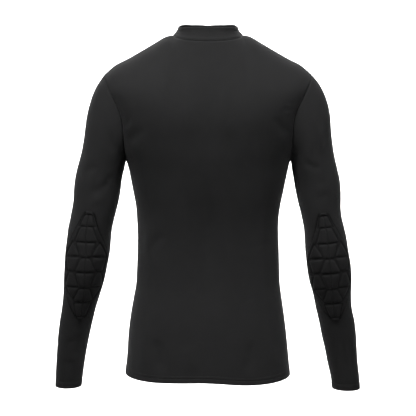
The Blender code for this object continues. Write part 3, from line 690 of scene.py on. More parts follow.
# %% Creases of the body, from the photograph
# Start across, start height, end across, end height, bow, half width, how far out.
BACK_CREASES = (
    (116, -423, 93, -382, 2, 7.5, -1.2),
    (104, -470, 111, -360, -4, 11, 1.8),
    (124, -440, 122, -372, 3, 7, 1.1),
    (-80, -417, -138, -403, -3, 4.5, -0.55),
    (-60, -520, -96, -506, 2, 5.5, -0.45),
    (98, -662, 106, -590, 5, 13, -2.6),
    (128, -660, 130, -575, 3, 12, 1.8),
    (26, -655, 40, -600, -4, 17, 1.6),
    (-84, -662, -92, -590, -4, 12, -2.4),
    (-126, -655, -124, -600, 2, 10, 1.6),
    (-150, -118, -172, -131, 1.5, 2.6, -1),
    (-146, -138, -168, -143, -1.5, 3, -1.2),
    (-156, -154, -170, -150, 1, 2.4, -0.8),
    (-128, -150, -160, -188, 5, 8, -1.6),
    (152, -150, 162, -176, -2, 4, -1),
    (118, -176, 158, -208, 4, 10, -1.8),
    (46, -60, 44, -205, -3, 12, 1.6),
    (-34, -80, -36, -190, 3, 12, 1.2))
FRONT_CREASES = (
    (150, -138, 128, -160, 3, 5, -1.4),
    (-148, -130, -122, -146, -3, 4, -1.2),
    (-150, -152, -118, -182, 4, 7, -1.6),
    (60, -240, -52, -232, -8, 10, -1.5),
    (116, -410, 70, -392, 4, 5, -1.4),
    (-112, -400, -60, -380, -4, 6, -1.3),
    (-122, -436, -84, -428, 2, 3.5, -0.9),
    (102, -655, 94, -580, -4, 12, -2.2),
    (40, -660, 30, -600, 3, 15, 1.5),
    (-88, -660, -98, -585, 4, 12, -2.2))

# %% Creases of the sleeves
LEFT_BACK_CREASES = (
    (218, -250, 244, -278, 4, 9, -1.8),
    (196, -286, 236, -306, -4, 8, -1.4),
    (186, -268, 202, -300, 3, 5, -1.2),
    (190, -180, 184, -232, 3, 8, -1.8),
    (205, -318, 238, -332, 3, 7, 1),
    (246, -584, 282, -592, 2, 4, -0.7),
    (252, -610, 292, -618, -2, 5, -0.8),
    (262, -668, 300, -662, 2, 4, -0.7))
RIGHT_BACK_CREASES = (
    (-203, -168, -213, -246, -4, 6, -1.5),
    (-218, -166, -228, -232, 3, 6, 1.2),
    (-232, -204, -220, -262, 3, 5, -0.9),
    (-186, -240, -226, -258, 4, 7, -1.4),
    (-206, -302, -246, -292, 3, 8, 1),
    (-270, -610, -284, -668, 3, 5, -1.2),
    (-286, -600, -294, -650, -2, 5, 0.8),
    (-262, -640, -292, -690, 3, 4, -0.7))
SLEEVE_FRONT_CREASES = (
    (176, -270, 214, -300, 4, 6, -1.4),
    (196, -176, 190, -226, -3, 7, -1.5),
    (204, -404, 250, -424, 4, 5, -1.6),
    (208, -432, 262, -446, -4, 6, -2),
    (212, -456, 256, -474, 3, 4.5, -1.3),
    (234, -560, 276, -570, 3, 5, -0.9),
    (256, -650, 292, -640, 3, 5, -0.8))

# %% [markdown]
# ## From points to cloth
# A sheet with no thickness looks like paper at a cuff or a hem, and it can't be held
# by a robot. So each piece gets an inner side, one wall thickness in, and at a free
# edge the two are joined by a rounded fold, as turned-up cloth has. The Solidify
# modifier could do this, but it rounds nothing and knows nothing of a hem, which is
# three layers thick. Points worked out row by row do both.

# %% Build a cloth wall
WALL = 1.3
HEM_WALL = 2.6
COLLAR_WALL = 2.2
FOLD_STEPS = 5
SEAM_GAP = 0.12
WEAVE_MAP = "cloth_mm"


def inward_of(points, wraps, flip):
    """Unit directions from the outer side of a piece to its inner side."""
    down = np.gradient(points, axis=0)
    if wraps:
        along = np.roll(points, -1, axis=1) - np.roll(points, 1, axis=1)
    else:
        along = np.gradient(points, axis=1)
    across = unit(np.cross(down, along))
    return across if flip else -across


def weave_places(points, wraps):
    """Where each point lies in the flat cloth, in millimetres."""
    if wraps:
        points = np.concatenate([points, points[:, :1]], axis=1)
    across = path_length(points, axis=1)
    across = across - across[:, across.shape[1] // 2, None]
    return np.stack([across, -path_length(points)], axis=-1)


def fold(outer_edge, inner_edge, onward):
    """Rows that round the fold between the outer and the inner side of an edge."""
    middle = 0.5 * (outer_edge + inner_edge)
    half = 0.5 * (outer_edge - inner_edge)
    reach = np.linalg.norm(half, axis=-1, keepdims=True)
    turns = np.linspace(0.0, math.pi, FOLD_STEPS + 2)[1:-1]
    return [middle + half * math.cos(t) + onward * reach * math.sin(t) for t in turns]


def cloth_wall(name, points, inward, wall, wraps, flip, material):
    """A cloth wall from its outer points, with a rounded fold below its last row."""
    inner = points + inward * wall
    places = weave_places(points, wraps)
    turned = fold(points[-1], inner[-1], unit(points[-1] - points[-3]))
    loop = np.concatenate([points, turned, inner[::-1]])
    map_at = np.concatenate([places, np.repeat(places[-1:], FOLD_STEPS, axis=0), places[::-1]])
    columns = loop.shape[1]
    i = np.arange(len(loop))[:, None]
    j = np.arange(columns if wraps else columns - 1)[None, :]
    next_i = (i + 1) % len(loop)
    next_j = (j + 1) % columns
    quads = np.stack(np.broadcast_arrays(
        i * columns + j, i * columns + next_j, next_i * columns + next_j, next_i * columns + j),
        axis=-1).reshape(-1, 4)
    corners = np.stack([map_at[i, j], map_at[i, j + 1], map_at[next_i, j + 1], map_at[next_i, j]], axis=2)
    corners = corners.reshape(-1, 4, 2)
    if not wraps:
        rings = side_rings(len(points), len(loop))
        for column, ring in ((0, rings), (columns - 1, rings[:, ::-1])):
            quads = np.concatenate([quads, ring * columns + column])
            corners = np.concatenate([corners, map_at[ring, column]])
    if not flip:
        quads = quads[:, ::-1]
        corners = corners[:, ::-1]
    return mesh_piece(name, loop.reshape(-1, 3), quads, material, corners.reshape(-1, 2))


def side_rings(outer_rows, loop_rows):
    """Rows of the loop that each face down a side edge joins, outer side to inner side."""
    rings = [[row, row + 1, loop_rows - row - 2, loop_rows - row - 1] for row in range(outer_rows - 1)]
    lip = list(range(outer_rows - 1, loop_rows - outer_rows + 1))
    while len(lip) > 3:
        rings.append([lip[0], lip[1], lip[-2], lip[-1]])
        lip = lip[1:-1]
    return np.array(rings)


def mesh_piece(name, points, faces, material, corners=None):
    """A smooth mesh object of one material, from points in millimetres."""
    mesh = bpy.data.meshes.new(name)
    mesh.from_pydata(np.asarray(points) * MM, [], [tuple(int(k) for k in face) for face in faces])
    if corners is not None:
        layer = mesh.uv_layers.new(name=WEAVE_MAP)
        layer.data.foreach_set("uv", np.asarray(corners, dtype=np.float32).ravel())
    mesh.materials.append(material)
    mesh.shade_smooth()
    mesh.update()
    item = bpy.data.objects.new(name, mesh)
    bpy.context.scene.collection.objects.link(item)
    return item

# %% [markdown]
# ## Seams pull the cloth in
# Where two pieces are sewn together, the thread draws the cloth down into a shallow
# valley, and the turned-in edges lift it again a few millimetres further on. A row of
# stitches through a hem does the same in little. Each point's distance from the seam
# gives how far it moves.

# %% Shape the cloth beside seams and stitch lines
def distance_to(points, line):
    """How far each point is from a line of close points."""
    flat = points.reshape(-1, points.shape[-1])
    nearest = np.full(len(flat), np.inf)
    for place in line:
        nearest = np.minimum(nearest, ((flat - place) ** 2).sum(axis=1))
    return np.sqrt(nearest).reshape(points.shape[:-1])


# How deep a valley is, half how wide, and how high the ridge beside it stands.
ARMHOLE_VALLEY = (0.7, 1.5, 0.30)
SHOULDER_VALLEY = (0.5, 1.4, 0.20)
NECK_VALLEY = (0.7, 1.4, 0.25)


RIDGE_PLACE = 2.6
RIDGE_WIDE = 1.3


def seam_valley(distance, deep, wide, ridge):
    """A seam's valley with the low ridge of its turned-in edges beside it."""
    valley = -deep * np.exp(-(distance / wide) ** 2)
    return valley + ridge * np.exp(-((distance - RIDGE_PLACE * wide) / (RIDGE_WIDE * wide)) ** 2)


def draw_in(out, points, lines, valley):
    """Adds the valleys of seams to how far out each point of the cloth moves."""
    for line in lines:
        out += seam_valley(distance_to(points, line), *valley)


def edge_distance(points):
    """How far each point is from the last row, along its own column."""
    return path_length(points[::-1])[::-1]


def stitch_groove(distance, place, deep, wide=1.3):
    """The groove that a row of stitches draws into the cloth."""
    return -deep * np.exp(-((distance - place) / wide) ** 2)

# %% [markdown]
# ## Knitted cloth as a material
# The shirt is a fine weft knit. Close up, its loops stand in columns of small Vs, less
# than a millimetre wide. From a step away they melt into a faint grain. An image of
# cloth would blur and repeat, so the Vs are worked out from each point's place in the
# flat cloth: columns from one number, and a wave that slants left and right of each
# column's middle. The cloth is near black, and its short fibres catch light at a
# glancing angle, which is the sheen.

# %% A short way to write nodes
class Nodes:
    """A short way to write the nodes of one material."""

    def __init__(self, name):
        self.material = bpy.data.materials.new(name)
        self.material.use_nodes = True
        self.tree = self.material.node_tree
        self.shader = self.tree.nodes["Principled BSDF"]

    def add(self, kind, **settings):
        node = self.tree.nodes.new(kind)
        for key, value in settings.items():
            setattr(node, key, value)
        return node

    def feed(self, socket, value):
        if isinstance(value, bpy.types.NodeSocket):
            self.tree.links.new(value, socket)
        else:
            socket.default_value = value

    def math(self, operation, *values):
        node = self.add("ShaderNodeMath", operation=operation)
        for socket, value in zip(node.inputs, values):
            self.feed(socket, value)
        return node.outputs[0]

    def noise(self, size_mm, detail):
        """Soft noise whose patches are about size_mm across on the object."""
        place = self.add("ShaderNodeTexCoord").outputs["Object"]
        node = self.add("ShaderNodeTexNoise")
        self.feed(node.inputs["Vector"], place)
        self.feed(node.inputs["Scale"], 1.0 / (size_mm * MM))
        self.feed(node.inputs["Detail"], detail)
        return node.outputs["Fac"]

    def between(self, share, low, high):
        node = self.add("ShaderNodeMapRange")
        self.feed(node.inputs["Value"], share)
        self.feed(node.inputs["To Min"], low)
        self.feed(node.inputs["To Max"], high)
        return node.outputs["Result"]

    def bump(self, height, relief):
        """Gives the surface a relief in millimetres from a height of about zero to one."""
        node = self.add("ShaderNodeBump")
        self.feed(node.inputs["Height"], height)
        self.feed(node.inputs["Distance"], relief * MM)
        self.feed(self.shader.inputs["Normal"], node.outputs["Normal"])

    def shades(self, share, colour, spread):
        """The colour, darker where the share is low and lighter where it is high."""
        node = self.add("ShaderNodeMix", data_type="RGBA")
        self.feed(node.inputs["Factor"], share)
        self.feed(node.inputs["A"], tuple((1.0 - spread) * c for c in colour) + (1.0,))
        self.feed(node.inputs["B"], tuple((1.0 + spread) * c for c in colour) + (1.0,))
        return node.outputs["Result"]


# %% The knit and the sewing thread
# Sizes are in millimetres, and shares are parts of one.
COLUMN_WIDE = 0.9
LOOP_TALL = 0.75
# A mesh layer that says where the pad's colour gets painted shade: in its channels and round its flange.
GROOVE_SHADE_LAYER = "painted_groove_shade"
GRAIN_SIZE = 2.2
GRAIN_RELIEF = 0.9
GRAIN_IN_MOTTLE = 0.6
MOTTLE_SIZE = 26.0
# How much of the colour's spread is painted shade, darker in the valleys between the loops.
LOOP_PAINTED_SHADE = 0.25
SHADE_SPREAD = 0.28
ROUGH_SPREAD = 0.05
THREAD_TWIST = 0.5
# Blender's wave texture is fine already at a scale of one, so its scale is divided by this.
WAVE_FINENESS = 20.0


def knit(name, colour, rough, sheen, relief=0.16, column=COLUMN_WIDE, loop=LOOP_TALL, groove_shade=1.0):
    """A fine weft knit in one colour, with painted shade in the valleys between its loops. Where a share
    below one is given, the grooves named by a mesh layer get painted shade too, down to that share of the
    colour.
    """
    n = Nodes(name)
    place = n.add("ShaderNodeUVMap", uv_map=WEAVE_MAP).outputs["UV"]
    apart = n.add("ShaderNodeSeparateXYZ")
    n.feed(apart.inputs[0], place)
    across = n.math("FRACT", n.math("DIVIDE", apart.outputs["X"], column))
    slant = n.math("ABSOLUTE", n.math("SUBTRACT", across, 0.5))
    course = n.math("ADD", n.math("DIVIDE", apart.outputs["Y"], loop), slant)
    wave = n.math("MULTIPLY_ADD", n.math("SINE", n.math("MULTIPLY", course, 2.0 * math.pi)), 0.5, 0.5)
    rib = n.math("SINE", n.math("MULTIPLY", across, math.pi))
    height = n.math("MULTIPLY", wave, n.math("POWER", rib, 0.6))
    grain = n.noise(GRAIN_SIZE, 3.0)
    n.bump(n.math("ADD", height, n.math("MULTIPLY", grain, GRAIN_RELIEF)), relief)
    patches = n.math("MULTIPLY", n.noise(MOTTLE_SIZE, 2.0), 1.0 - GRAIN_IN_MOTTLE)
    mottle = n.math("ADD", n.math("MULTIPLY", grain, GRAIN_IN_MOTTLE), patches)
    rest = n.math("MULTIPLY", mottle, 1.0 - LOOP_PAINTED_SHADE)
    # Painted shade: the colour is darker where the loops' relief is low, in the valleys between them. The
    # grain and the patches are the knit's own uneven tone.
    colour_out = n.shades(n.math("MULTIPLY_ADD", height, LOOP_PAINTED_SHADE, rest), colour, SHADE_SPREAD)
    # Painted shade: where the layer says so, the colour is darkened down to the given share.
    if groove_shade < 1.0:
        shade_mask = n.add("ShaderNodeAttribute", attribute_name=GROOVE_SHADE_LAYER).outputs["Fac"]
        dim = n.add("ShaderNodeMix", data_type="RGBA", blend_type="MULTIPLY")
        n.feed(dim.inputs["Factor"], shade_mask)
        n.feed(dim.inputs["A"], colour_out)
        n.feed(dim.inputs["B"], (groove_shade, groove_shade, groove_shade, 1.0))
        colour_out = dim.outputs["Result"]
    n.feed(n.shader.inputs["Base Color"], colour_out)
    n.feed(n.shader.inputs["Roughness"], n.between(grain, rough - ROUGH_SPREAD, rough + ROUGH_SPREAD))
    n.shader.inputs["Specular IOR Level"].default_value = 0.12
    n.shader.inputs["Sheen Weight"].default_value = sheen
    n.shader.inputs["Sheen Roughness"].default_value = 0.5
    n.shader.inputs["Sheen Tint"].default_value = (0.80, 0.80, 0.82, 1.0)
    return n.material


def thread(name, colour):
    """Polyester sewing thread: two plies that twist round each other, with painted shade between them."""
    n = Nodes(name)
    twist = n.add("ShaderNodeTexWave", wave_type="BANDS", bands_direction="DIAGONAL")
    n.feed(twist.inputs["Vector"], n.add("ShaderNodeTexCoord").outputs["Object"])
    n.feed(twist.inputs["Scale"], 1.0 / (THREAD_TWIST * MM) / WAVE_FINENESS)
    n.bump(twist.outputs["Fac"], 0.08)
    # Painted shade: the colour is darker where the twist's relief is low, between the plies.
    n.feed(n.shader.inputs["Base Color"], n.shades(twist.outputs["Fac"], colour, 0.25))
    n.shader.inputs["Roughness"].default_value = 0.5
    return n.material


# %% Make the materials
CLOTH_COLOUR = (0.0180, 0.0180, 0.0183)
PANEL_COLOUR = (0.0176, 0.0176, 0.0179)
COLLAR_COLOUR = (0.0195, 0.0195, 0.0198)
PAD_COLOUR = (0.0150, 0.0150, 0.0153)
THREAD_COLOUR = (0.0050, 0.0050, 0.0052)
body_knit = knit("body_knit", CLOTH_COLOUR, 0.86, 0.06)
front_knit = knit("front_knit", PANEL_COLOUR, 0.86, 0.06)
sleeve_knit = knit("sleeve_knit", CLOTH_COLOUR, 0.86, 0.06)
collar_knit = knit("collar_knit", COLLAR_COLOUR, 0.86, 0.06)
# The pad's channels and flange get painted shade, down to 0.15 of its colour.
pad_knit = knit("pad_knit", PAD_COLOUR, 0.80, 0.05, relief=0.12, column=0.8, loop=0.7, groove_shade=0.15)
dark_thread = thread("dark_thread", THREAD_COLOUR)
print("Materials:", body_knit.name, sleeve_knit.name, collar_knit.name, pad_knit.name, dark_thread.name)

# %% [markdown]
# ## The back and the front
# Both panels are read from the body's surface, creased, drawn in at their seams and
# thickened at the hem. The wall grows to three layers over the last centimetre and a
# half, because the hem is turned up, and twin rows of stitches run round it.

# %% Shape a body panel
HEM_ROW_PLACES = (8.0, 14.0)
STITCH_DEEP = 0.6
TURNED_OUT = 0.5
# Where turned-up cloth starts and ends to stand out and to thicken, from its stitches.
HEM_STEPS = ((1.0, -2.0), (0.8, -0.8))
CUFF_STEPS = ((1.5, -1.5), (1.2, -0.4))
armholes = {
    side: [armhole_points(back) * (side, 1.0, 1.0) for back in (True, False)] for side in (LEFT, RIGHT)}
shoulders = [shoulder_points(), shoulder_points() * mirror]


def shaped(points, inward, out):
    """Points moved out by a distance each."""
    return points - inward * out[..., None]


def close_seams(points, columns_too):
    """Half the seam gap off the edges of a panel, towards its own middle."""
    moved = points.copy()
    moved[0] += unit(points[1] - points[0]) * 0.5 * SEAM_GAP
    if columns_too:
        moved[:, 0] += unit(points[:, 1] - points[:, 0]) * 0.5 * SEAM_GAP
        moved[:, -1] += unit(points[:, -2] - points[:, -1]) * 0.5 * SEAM_GAP
    return moved


def turned_up(rise, depth, steps):
    """How far turned-up cloth stands out near its edge, and how thick it is."""
    (out_from, out_to), (thick_from, thick_to) = steps
    out = TURNED_OUT * fade(rise, depth + out_from, depth + out_to)
    wall = WALL + (HEM_WALL - WALL) * fade(rise, depth + thick_from, depth + thick_to)
    return out, wall[..., None]


def body_panel(name, points, back, material):
    """One body panel with its creases, seams and hem."""
    inward = inward_of(points, False, not back)
    rise = edge_distance(points)
    out = creases(BACK_CREASES if back else FRONT_CREASES, points[..., 0], points[..., 2])
    draw_in(out, points, armholes[LEFT] + armholes[RIGHT], ARMHOLE_VALLEY)
    draw_in(out, points, shoulders, SHOULDER_VALLEY)
    draw_in(out, points, [neckline], NECK_VALLEY)
    for place in HEM_ROW_PLACES:
        out += stitch_groove(rise, place, STITCH_DEEP)
    hem_out, wall = turned_up(rise, HEM_DEPTH, HEM_STEPS)
    outer = close_seams(shaped(points, inward, out + hem_out), True)
    inward = side_seam_inward(inward, points)
    piece = cloth_wall(name, outer, inward, wall, False, not back, material)
    return piece, outer, inward


def side_seam_inward(inward, points):
    """Inward directions with those of the side seams straight in, so both panels share them."""
    shared = inward.copy()
    sides = np.zeros_like(points[:, :1])
    sides[..., 0] = -np.sign(points[:, :1, 0])
    shared[CAP_ROWS:, :1] = sides[CAP_ROWS:]
    shared[CAP_ROWS:, -1:] = -sides[CAP_ROWS:]
    return shared


back_piece, back_outer, back_inward = body_panel("back_cloth", back_points, True, body_knit)
front_piece, front_outer, front_inward = body_panel("front_cloth", front_points, False, front_knit)
print("Back panel:", len(back_piece.data.polygons), "faces")
print("Front panel:", len(front_piece.data.polygons), "faces")

# %% [markdown]
# ## The sleeves and the collar
# The sleeves are shaped the same way. Their creases fade out under the elbow pads,
# because the pad is sewn flat to the cloth and holds it smooth. The cuff has a single
# row of stitches and the collar one row just above its seam and one under its rim.

# %% Where a place on the flat pad lies on its sleeve
PAD_LENGTH = 225.0
PAD_DROP = 222.0
PAD_TOP = {LEFT: -344.0, RIGHT: -346.5}
# At the pad's top and at its foot: how far its middle lies aside, and how its rows lean.
PAD_SHIFT = {LEFT: (8.0, -9.0), RIGHT: (3.0, -2.0)}
PAD_LEAN = {LEFT: (-0.055, 0.02), RIGHT: (-0.085, -0.085)}
# How far outside the pad the creases begin to fade, and where they are gone.
PAD_MARGIN = (14.0, 1.0)

# Pad outline, drawn flat. Down from its top, half its width.
PAD_OUTLINE = table_of(
    (0, 9),
    (1, 10.6),
    (4, 12.6),
    (24.5, 21.6),
    (41.5, 29.8),
    (58.5, 38.8),
    (78, 49.5),
    (91, 55.5),
    (104, 58.7),
    (118, 59.2),
    (132, 58),
    (148, 54.2),
    (165, 47.2),
    (186, 36.3),
    (198, 28.8),
    (211.5, 19.4),
    (220, 13.4),
    (223.5, 11),
    (225, 8.8))


def pad_half_width(down):
    """Half the pad's width at a place down its length."""
    return smooth(PAD_OUTLINE, 1, down)


def arm_radius(side, outer):
    """The sleeve's mean radius at one height."""
    column = 1 if side > 0 else 2
    width = 0.5 * (smooth(SLEEVE_OUTER, column, outer) - smooth(SLEEVE_INNER, column, outer))
    return 0.5 * (width + smooth(SLEEVE, 3, outer))


def down_pad(ends, down):
    """A value that changes evenly from the pad's top to its foot."""
    top, foot = ends
    return top + (foot - top) * down / PAD_LENGTH


def on_sleeve(side, across, down):
    """Points on the sleeve under a flat pad, and the directions straight out."""
    lower = across * down_pad(PAD_LEAN[side], down)
    outer = PAD_TOP[side] - PAD_DROP * (down + lower) / PAD_LENGTH
    angle = 0.5 * math.pi - (across + down_pad(PAD_SHIFT[side], down)) / arm_radius(side, outer)
    turn = 0.01
    step = 6.0
    around = sleeve_ring(side, outer, angle + turn) - sleeve_ring(side, outer, angle - turn)
    along = sleeve_ring(side, outer - step, angle) - sleeve_ring(side, outer + step, angle)
    return sleeve_ring(side, outer, angle), unit(np.cross(along, around)) * side


def under_pad(side):
    """How much of each sleeve point lies under the pad: one inside, zero well outside."""
    heights = sleeve_heights()[0][:, None]
    down = (PAD_TOP[side] - heights) * PAD_LENGTH / PAD_DROP
    across = (0.5 * math.pi - ring_angles) * arm_radius(side, heights) - down_pad(PAD_SHIFT[side], down)
    down = down - across * down_pad(PAD_LEAN[side], down)
    room = np.maximum(np.abs(across) - pad_half_width(down), np.maximum(-down, down - PAD_LENGTH))
    return fade(room, *PAD_MARGIN)


# %% Shape a sleeve
BACK_OF_ARM = (-0.15, 0.35)


def arm_piece(name, points, side, back_creases, material):
    """One sleeve with its creases, its armhole seam and its cuff."""
    inward = inward_of(points, True, side < 0)
    rise = edge_distance(points)
    seen = fade(np.sin(ring_angles), *BACK_OF_ARM)[None, :]
    hidden = fade(-np.sin(ring_angles), *BACK_OF_ARM)[None, :]
    out = creases(back_creases, points[..., 0], points[..., 2]) * seen
    out = out + creases(SLEEVE_FRONT_CREASES, np.abs(points[..., 0]), points[..., 2]) * hidden
    out = out * (1.0 - under_pad(side))
    draw_in(out, points, armholes[side], ARMHOLE_VALLEY)
    out += stitch_groove(rise, CUFF_DEPTH, STITCH_DEEP)
    cuff_out, wall = turned_up(rise, CUFF_DEPTH, CUFF_STEPS)
    outer = close_seams(shaped(points, inward, out + cuff_out), False)
    return cloth_wall(name, outer, inward, wall, True, side < 0, material), outer, inward


left_piece, left_outer, left_inward = arm_piece(
    "left_sleeve_cloth", left_sleeve_points, LEFT, LEFT_BACK_CREASES, sleeve_knit)
right_piece, right_outer, right_inward = arm_piece(
    "right_sleeve_cloth", right_sleeve_points, RIGHT, RIGHT_BACK_CREASES, sleeve_knit)
print("Sleeves:", len(left_piece.data.polygons), "and", len(right_piece.data.polygons), "faces")

# %% Shape the collar
COLLAR_VALLEY = (0.9, 1.8, 0.3)
COLLAR_SEAM_ROW = 2.6
COLLAR_SEAM_GROOVE = (0.25, 0.9)
COLLAR_RIM_ROW = 4.5
COLLAR_RIM_GROOVE = (0.1, 1.1)
collar_inward = inward_of(collar_points, True, True)
collar_rise = edge_distance(collar_points)
collar_height = collar_rise[:1] - collar_rise
collar_out = seam_valley(collar_height, *COLLAR_VALLEY)
collar_out += stitch_groove(collar_height, COLLAR_SEAM_ROW, *COLLAR_SEAM_GROOVE)
collar_out += stitch_groove(collar_rise, COLLAR_RIM_ROW, *COLLAR_RIM_GROOVE)
collar_outer = close_seams(shaped(collar_points, collar_inward, collar_out), False)
collar_piece = cloth_wall(
    "collar_cloth", collar_outer, collar_inward, COLLAR_WALL, True, True, collar_knit)
print("Collar:", len(collar_piece.data.polygons), "faces")

# %% [markdown]
# ## The quilted elbow pads
# Each pad is a soft foam sheet between two knits, pressed together along a net of lines
# so that the foam swells between them in separate cells. They fan out like petals round
# two points, so that the pad can fold with the elbow. A simulated cloth would need very
# many points to keep channels two millimetres wide, so none is tried here, and the
# swelling is worked out directly. Each point's distance from the nearest line gives its
# height: a steep wall about a millimetre wide, then a low dome. The band round the cells
# swells in the same way, only less.

# %% Cells of the pad
# Drawn flat: across from the middle line, and down from the top. One side only.
PAD_CELLS = (
    ((-9, 8.3), (6.5, 8.3), (13.3, 28.3), (-9, 28.3)),
    ((-9, 32.5), (10.8, 32.5), (21.3, 60), (-9, 60.5)),
    ((-9, 66), (18.2, 65), (10.5, 91), (-9, 92.3)),
    ((28, 65.5), (44.6, 91.8), (14.4, 89.2)),
    ((-9, 97), (7.5, 97), (18.4, 121.8), (-9, 123.6)),
    ((14.8, 95.3), (45, 98), (38, 121.5), (22.6, 120.5)),
    ((49.5, 101.5), (53.5, 113), (53, 125), (42.5, 123)),
    ((-9, 128.5), (17, 127.8), (10.2, 154.8), (-9, 156.3)),
    ((25.2, 127.3), (34.5, 128), (44, 155), (14.6, 153.3)),
    ((39.5, 129.5), (52.5, 130.5), (50, 145), (47.5, 151)),
    ((-9, 160.5), (9, 161), (18.2, 184), (-9, 188.2)),
    ((13, 158.3), (37.5, 160), (22.3, 179)),
    ((-9, 193), (16.2, 192.5), (8.2, 217.3), (-9, 218.2)))
PAD_BASE = 0.5
PAD_CORNER = 1.3
PAD_FOOT = 1.6
PAD_WALL = (1.2, 1.5)
PAD_DOME = (0.8, 5.0)
PAD_MIDDLE = (1.5, 1.4)
PAD_MIDDLE_EASE = (0.0, 2.0)
OUTLINE_POINTS = 260
PAD_FLANGE = 3.1
PAD_LINE = 1.5
PAD_BAND = (1.7, 1.0)
# Painted shade falls where the skin is less than this high. The inner channels get this share of it, and the
# flange round the outline all of it.
PAD_SHADE_BELOW = 0.9
PAD_GROOVE_SHADE_SHARE = 0.42


def inside_cell(corners, across, down):
    """How deep each point lies inside a cell, with its corners rounded off."""
    corners = np.array(corners)
    middle = corners.mean(axis=0)
    total = 0.0
    for k, start in enumerate(corners):
        way = corners[(k + 1) % len(corners)] - start
        normal = np.array([way[1], -way[0]]) / np.linalg.norm(way)
        if (middle - start) @ normal < 0:
            normal = -normal
        depth = (across - start[0]) * normal[0] + (down - start[1]) * normal[1]
        total = total + np.exp(-np.clip(depth, -30.0, 60.0) / PAD_CORNER)
    return -PAD_CORNER * np.log(total)


def steep(depth, high, wide):
    """A wall that rises to a height over a width and then stays level."""
    return high * (1.0 - np.exp(-(np.maximum(depth, 0.0) / wide) ** 1.5))


def quilt(across, down, inside):
    """The height of the quilted skin over its sewn lines at any flat place."""
    cell = np.full(across.shape, -PAD_LENGTH)
    for corners in PAD_CELLS:
        cell = np.maximum(cell, inside_cell(corners, np.abs(across), down) + PAD_FOOT)
    dome = PAD_DOME[0] * (1.0 - np.exp(-np.maximum(cell, 0.0) / PAD_DOME[1]))
    crease = PAD_MIDDLE[0] * np.exp(-(across / PAD_MIDDLE[1]) ** 2) * fade(cell, *PAD_MIDDLE_EASE)
    room = np.minimum(inside - PAD_FLANGE, -cell - PAD_LINE)
    return steep(cell, *PAD_WALL) + dome - crease + steep(room, *PAD_BAND)


def outline_loop(inset):
    """A closed flat line just inside the pad's outline, as close points."""
    down = 0.5 * PAD_LENGTH * (1.0 - np.cos(np.linspace(0.0, math.pi, OUTLINE_POINTS)))
    right = np.stack([pad_half_width(down), down], axis=1)
    loop = np.concatenate([right, right[::-1] * (-1.0, 1.0)])
    ahead = unit(np.roll(loop, -1, axis=0) - np.roll(loop, 1, axis=0))
    return loop + np.stack([-ahead[:, 1], ahead[:, 0]], axis=1) * inset


# %% Build a pad
PAD_ROWS = 250
PAD_HALF_COLUMNS = 62
PAD_CLEAR = 0.25


def elbow_pad(name, side, material):
    """A quilted pad on the back of a sleeve."""
    down = PAD_LENGTH * np.linspace(0.0, 1.0, PAD_ROWS + 1)[:, None]
    across = pad_half_width(down) * np.linspace(-1.0, 1.0, 2 * PAD_HALF_COLUMNS + 1)
    down = down + 0.0 * across
    flat = np.stack([across, down], axis=-1)
    inside = distance_to(flat, outline_loop(0.0))
    puff = quilt(across, down, inside)
    place, out = on_sleeve(side, across, down)
    top = place + out * (PAD_CLEAR + (PAD_BASE + puff))[..., None]
    low = place + out * PAD_CLEAR
    piece = pad_mesh(name, top, low, flat, side, material)
    # Painted shade: the colour is darkened in the channels between the cells and, more, on the flange round
    # the outline, where the skin lies low.
    groove_shade = piece.data.attributes.new(GROOVE_SHADE_LAYER, "FLOAT", "POINT")
    rim = fade(inside, PAD_FLANGE + 1.0, PAD_FLANGE)
    rim = PAD_GROOVE_SHADE_SHARE + (1.0 - PAD_GROOVE_SHADE_SHARE) * rim
    depth = (rim * fade(puff, PAD_SHADE_BELOW, 0.0)).ravel()
    groove_shade.data.foreach_set("value", np.concatenate([depth, depth]).astype(np.float32))
    return piece


def pad_mesh(name, top, low, flat, side, material):
    """The closed mesh of a pad from its upper and lower points."""
    rows, columns = top.shape[:2]
    count = rows * columns
    a = (np.arange(rows - 1)[:, None] * columns + np.arange(columns - 1)).ravel()
    quads = np.stack([a, a + 1, a + columns + 1, a + columns], axis=1)
    under = quads[:, ::-1] + count
    edge = np.concatenate([
        np.arange(columns),
        np.arange(1, rows) * columns + columns - 1,
        (rows - 1) * columns + np.arange(columns - 2, -1, -1),
        np.arange(rows - 2, 0, -1) * columns])
    onward = np.roll(edge, -1)
    rim = np.stack([onward, edge, edge + count, onward + count], axis=1)
    faces = np.concatenate([quads, under, rim])
    if side > 0:
        faces = faces[:, ::-1]
    places = np.concatenate([flat, flat]).reshape(-1, 2)
    points = np.concatenate([top, low]).reshape(-1, 3)
    return mesh_piece(name, points, faces, material, places[faces].reshape(-1, 2))


left_pad = elbow_pad("left_pad_cloth", LEFT, pad_knit)
right_pad = elbow_pad("right_pad_cloth", RIGHT, pad_knit)
print("Pads:", len(left_pad.data.polygons), "faces each")

# %% [markdown]
# ## Stitches
# A stitch is a short stretch of thread that comes up through the cloth, lies on it and
# goes down again. Thousands of small tubes would be heavy as separate objects, so each
# row of stitches is one mesh, worked out with the same few points for every stitch.

# %% Sew along a line
STITCH_LENGTH = 2.6
STITCH_SPACE = 0.7
THREAD_THICK = 0.34
THREAD_SIDES = 5
# A stitch's middle line: along it in stitch lengths, up from the cloth in threads.
STITCH_SHAPE = table_of((-0.5, -0.5), (-0.42, 0.25), (0.0, 0.55), (0.42, 0.25), (0.5, -0.5))


def read_line(at, length, values):
    """Points or directions read at places along a line."""
    return np.stack([np.interp(at, length, values[:, k]) for k in range(3)], axis=-1)


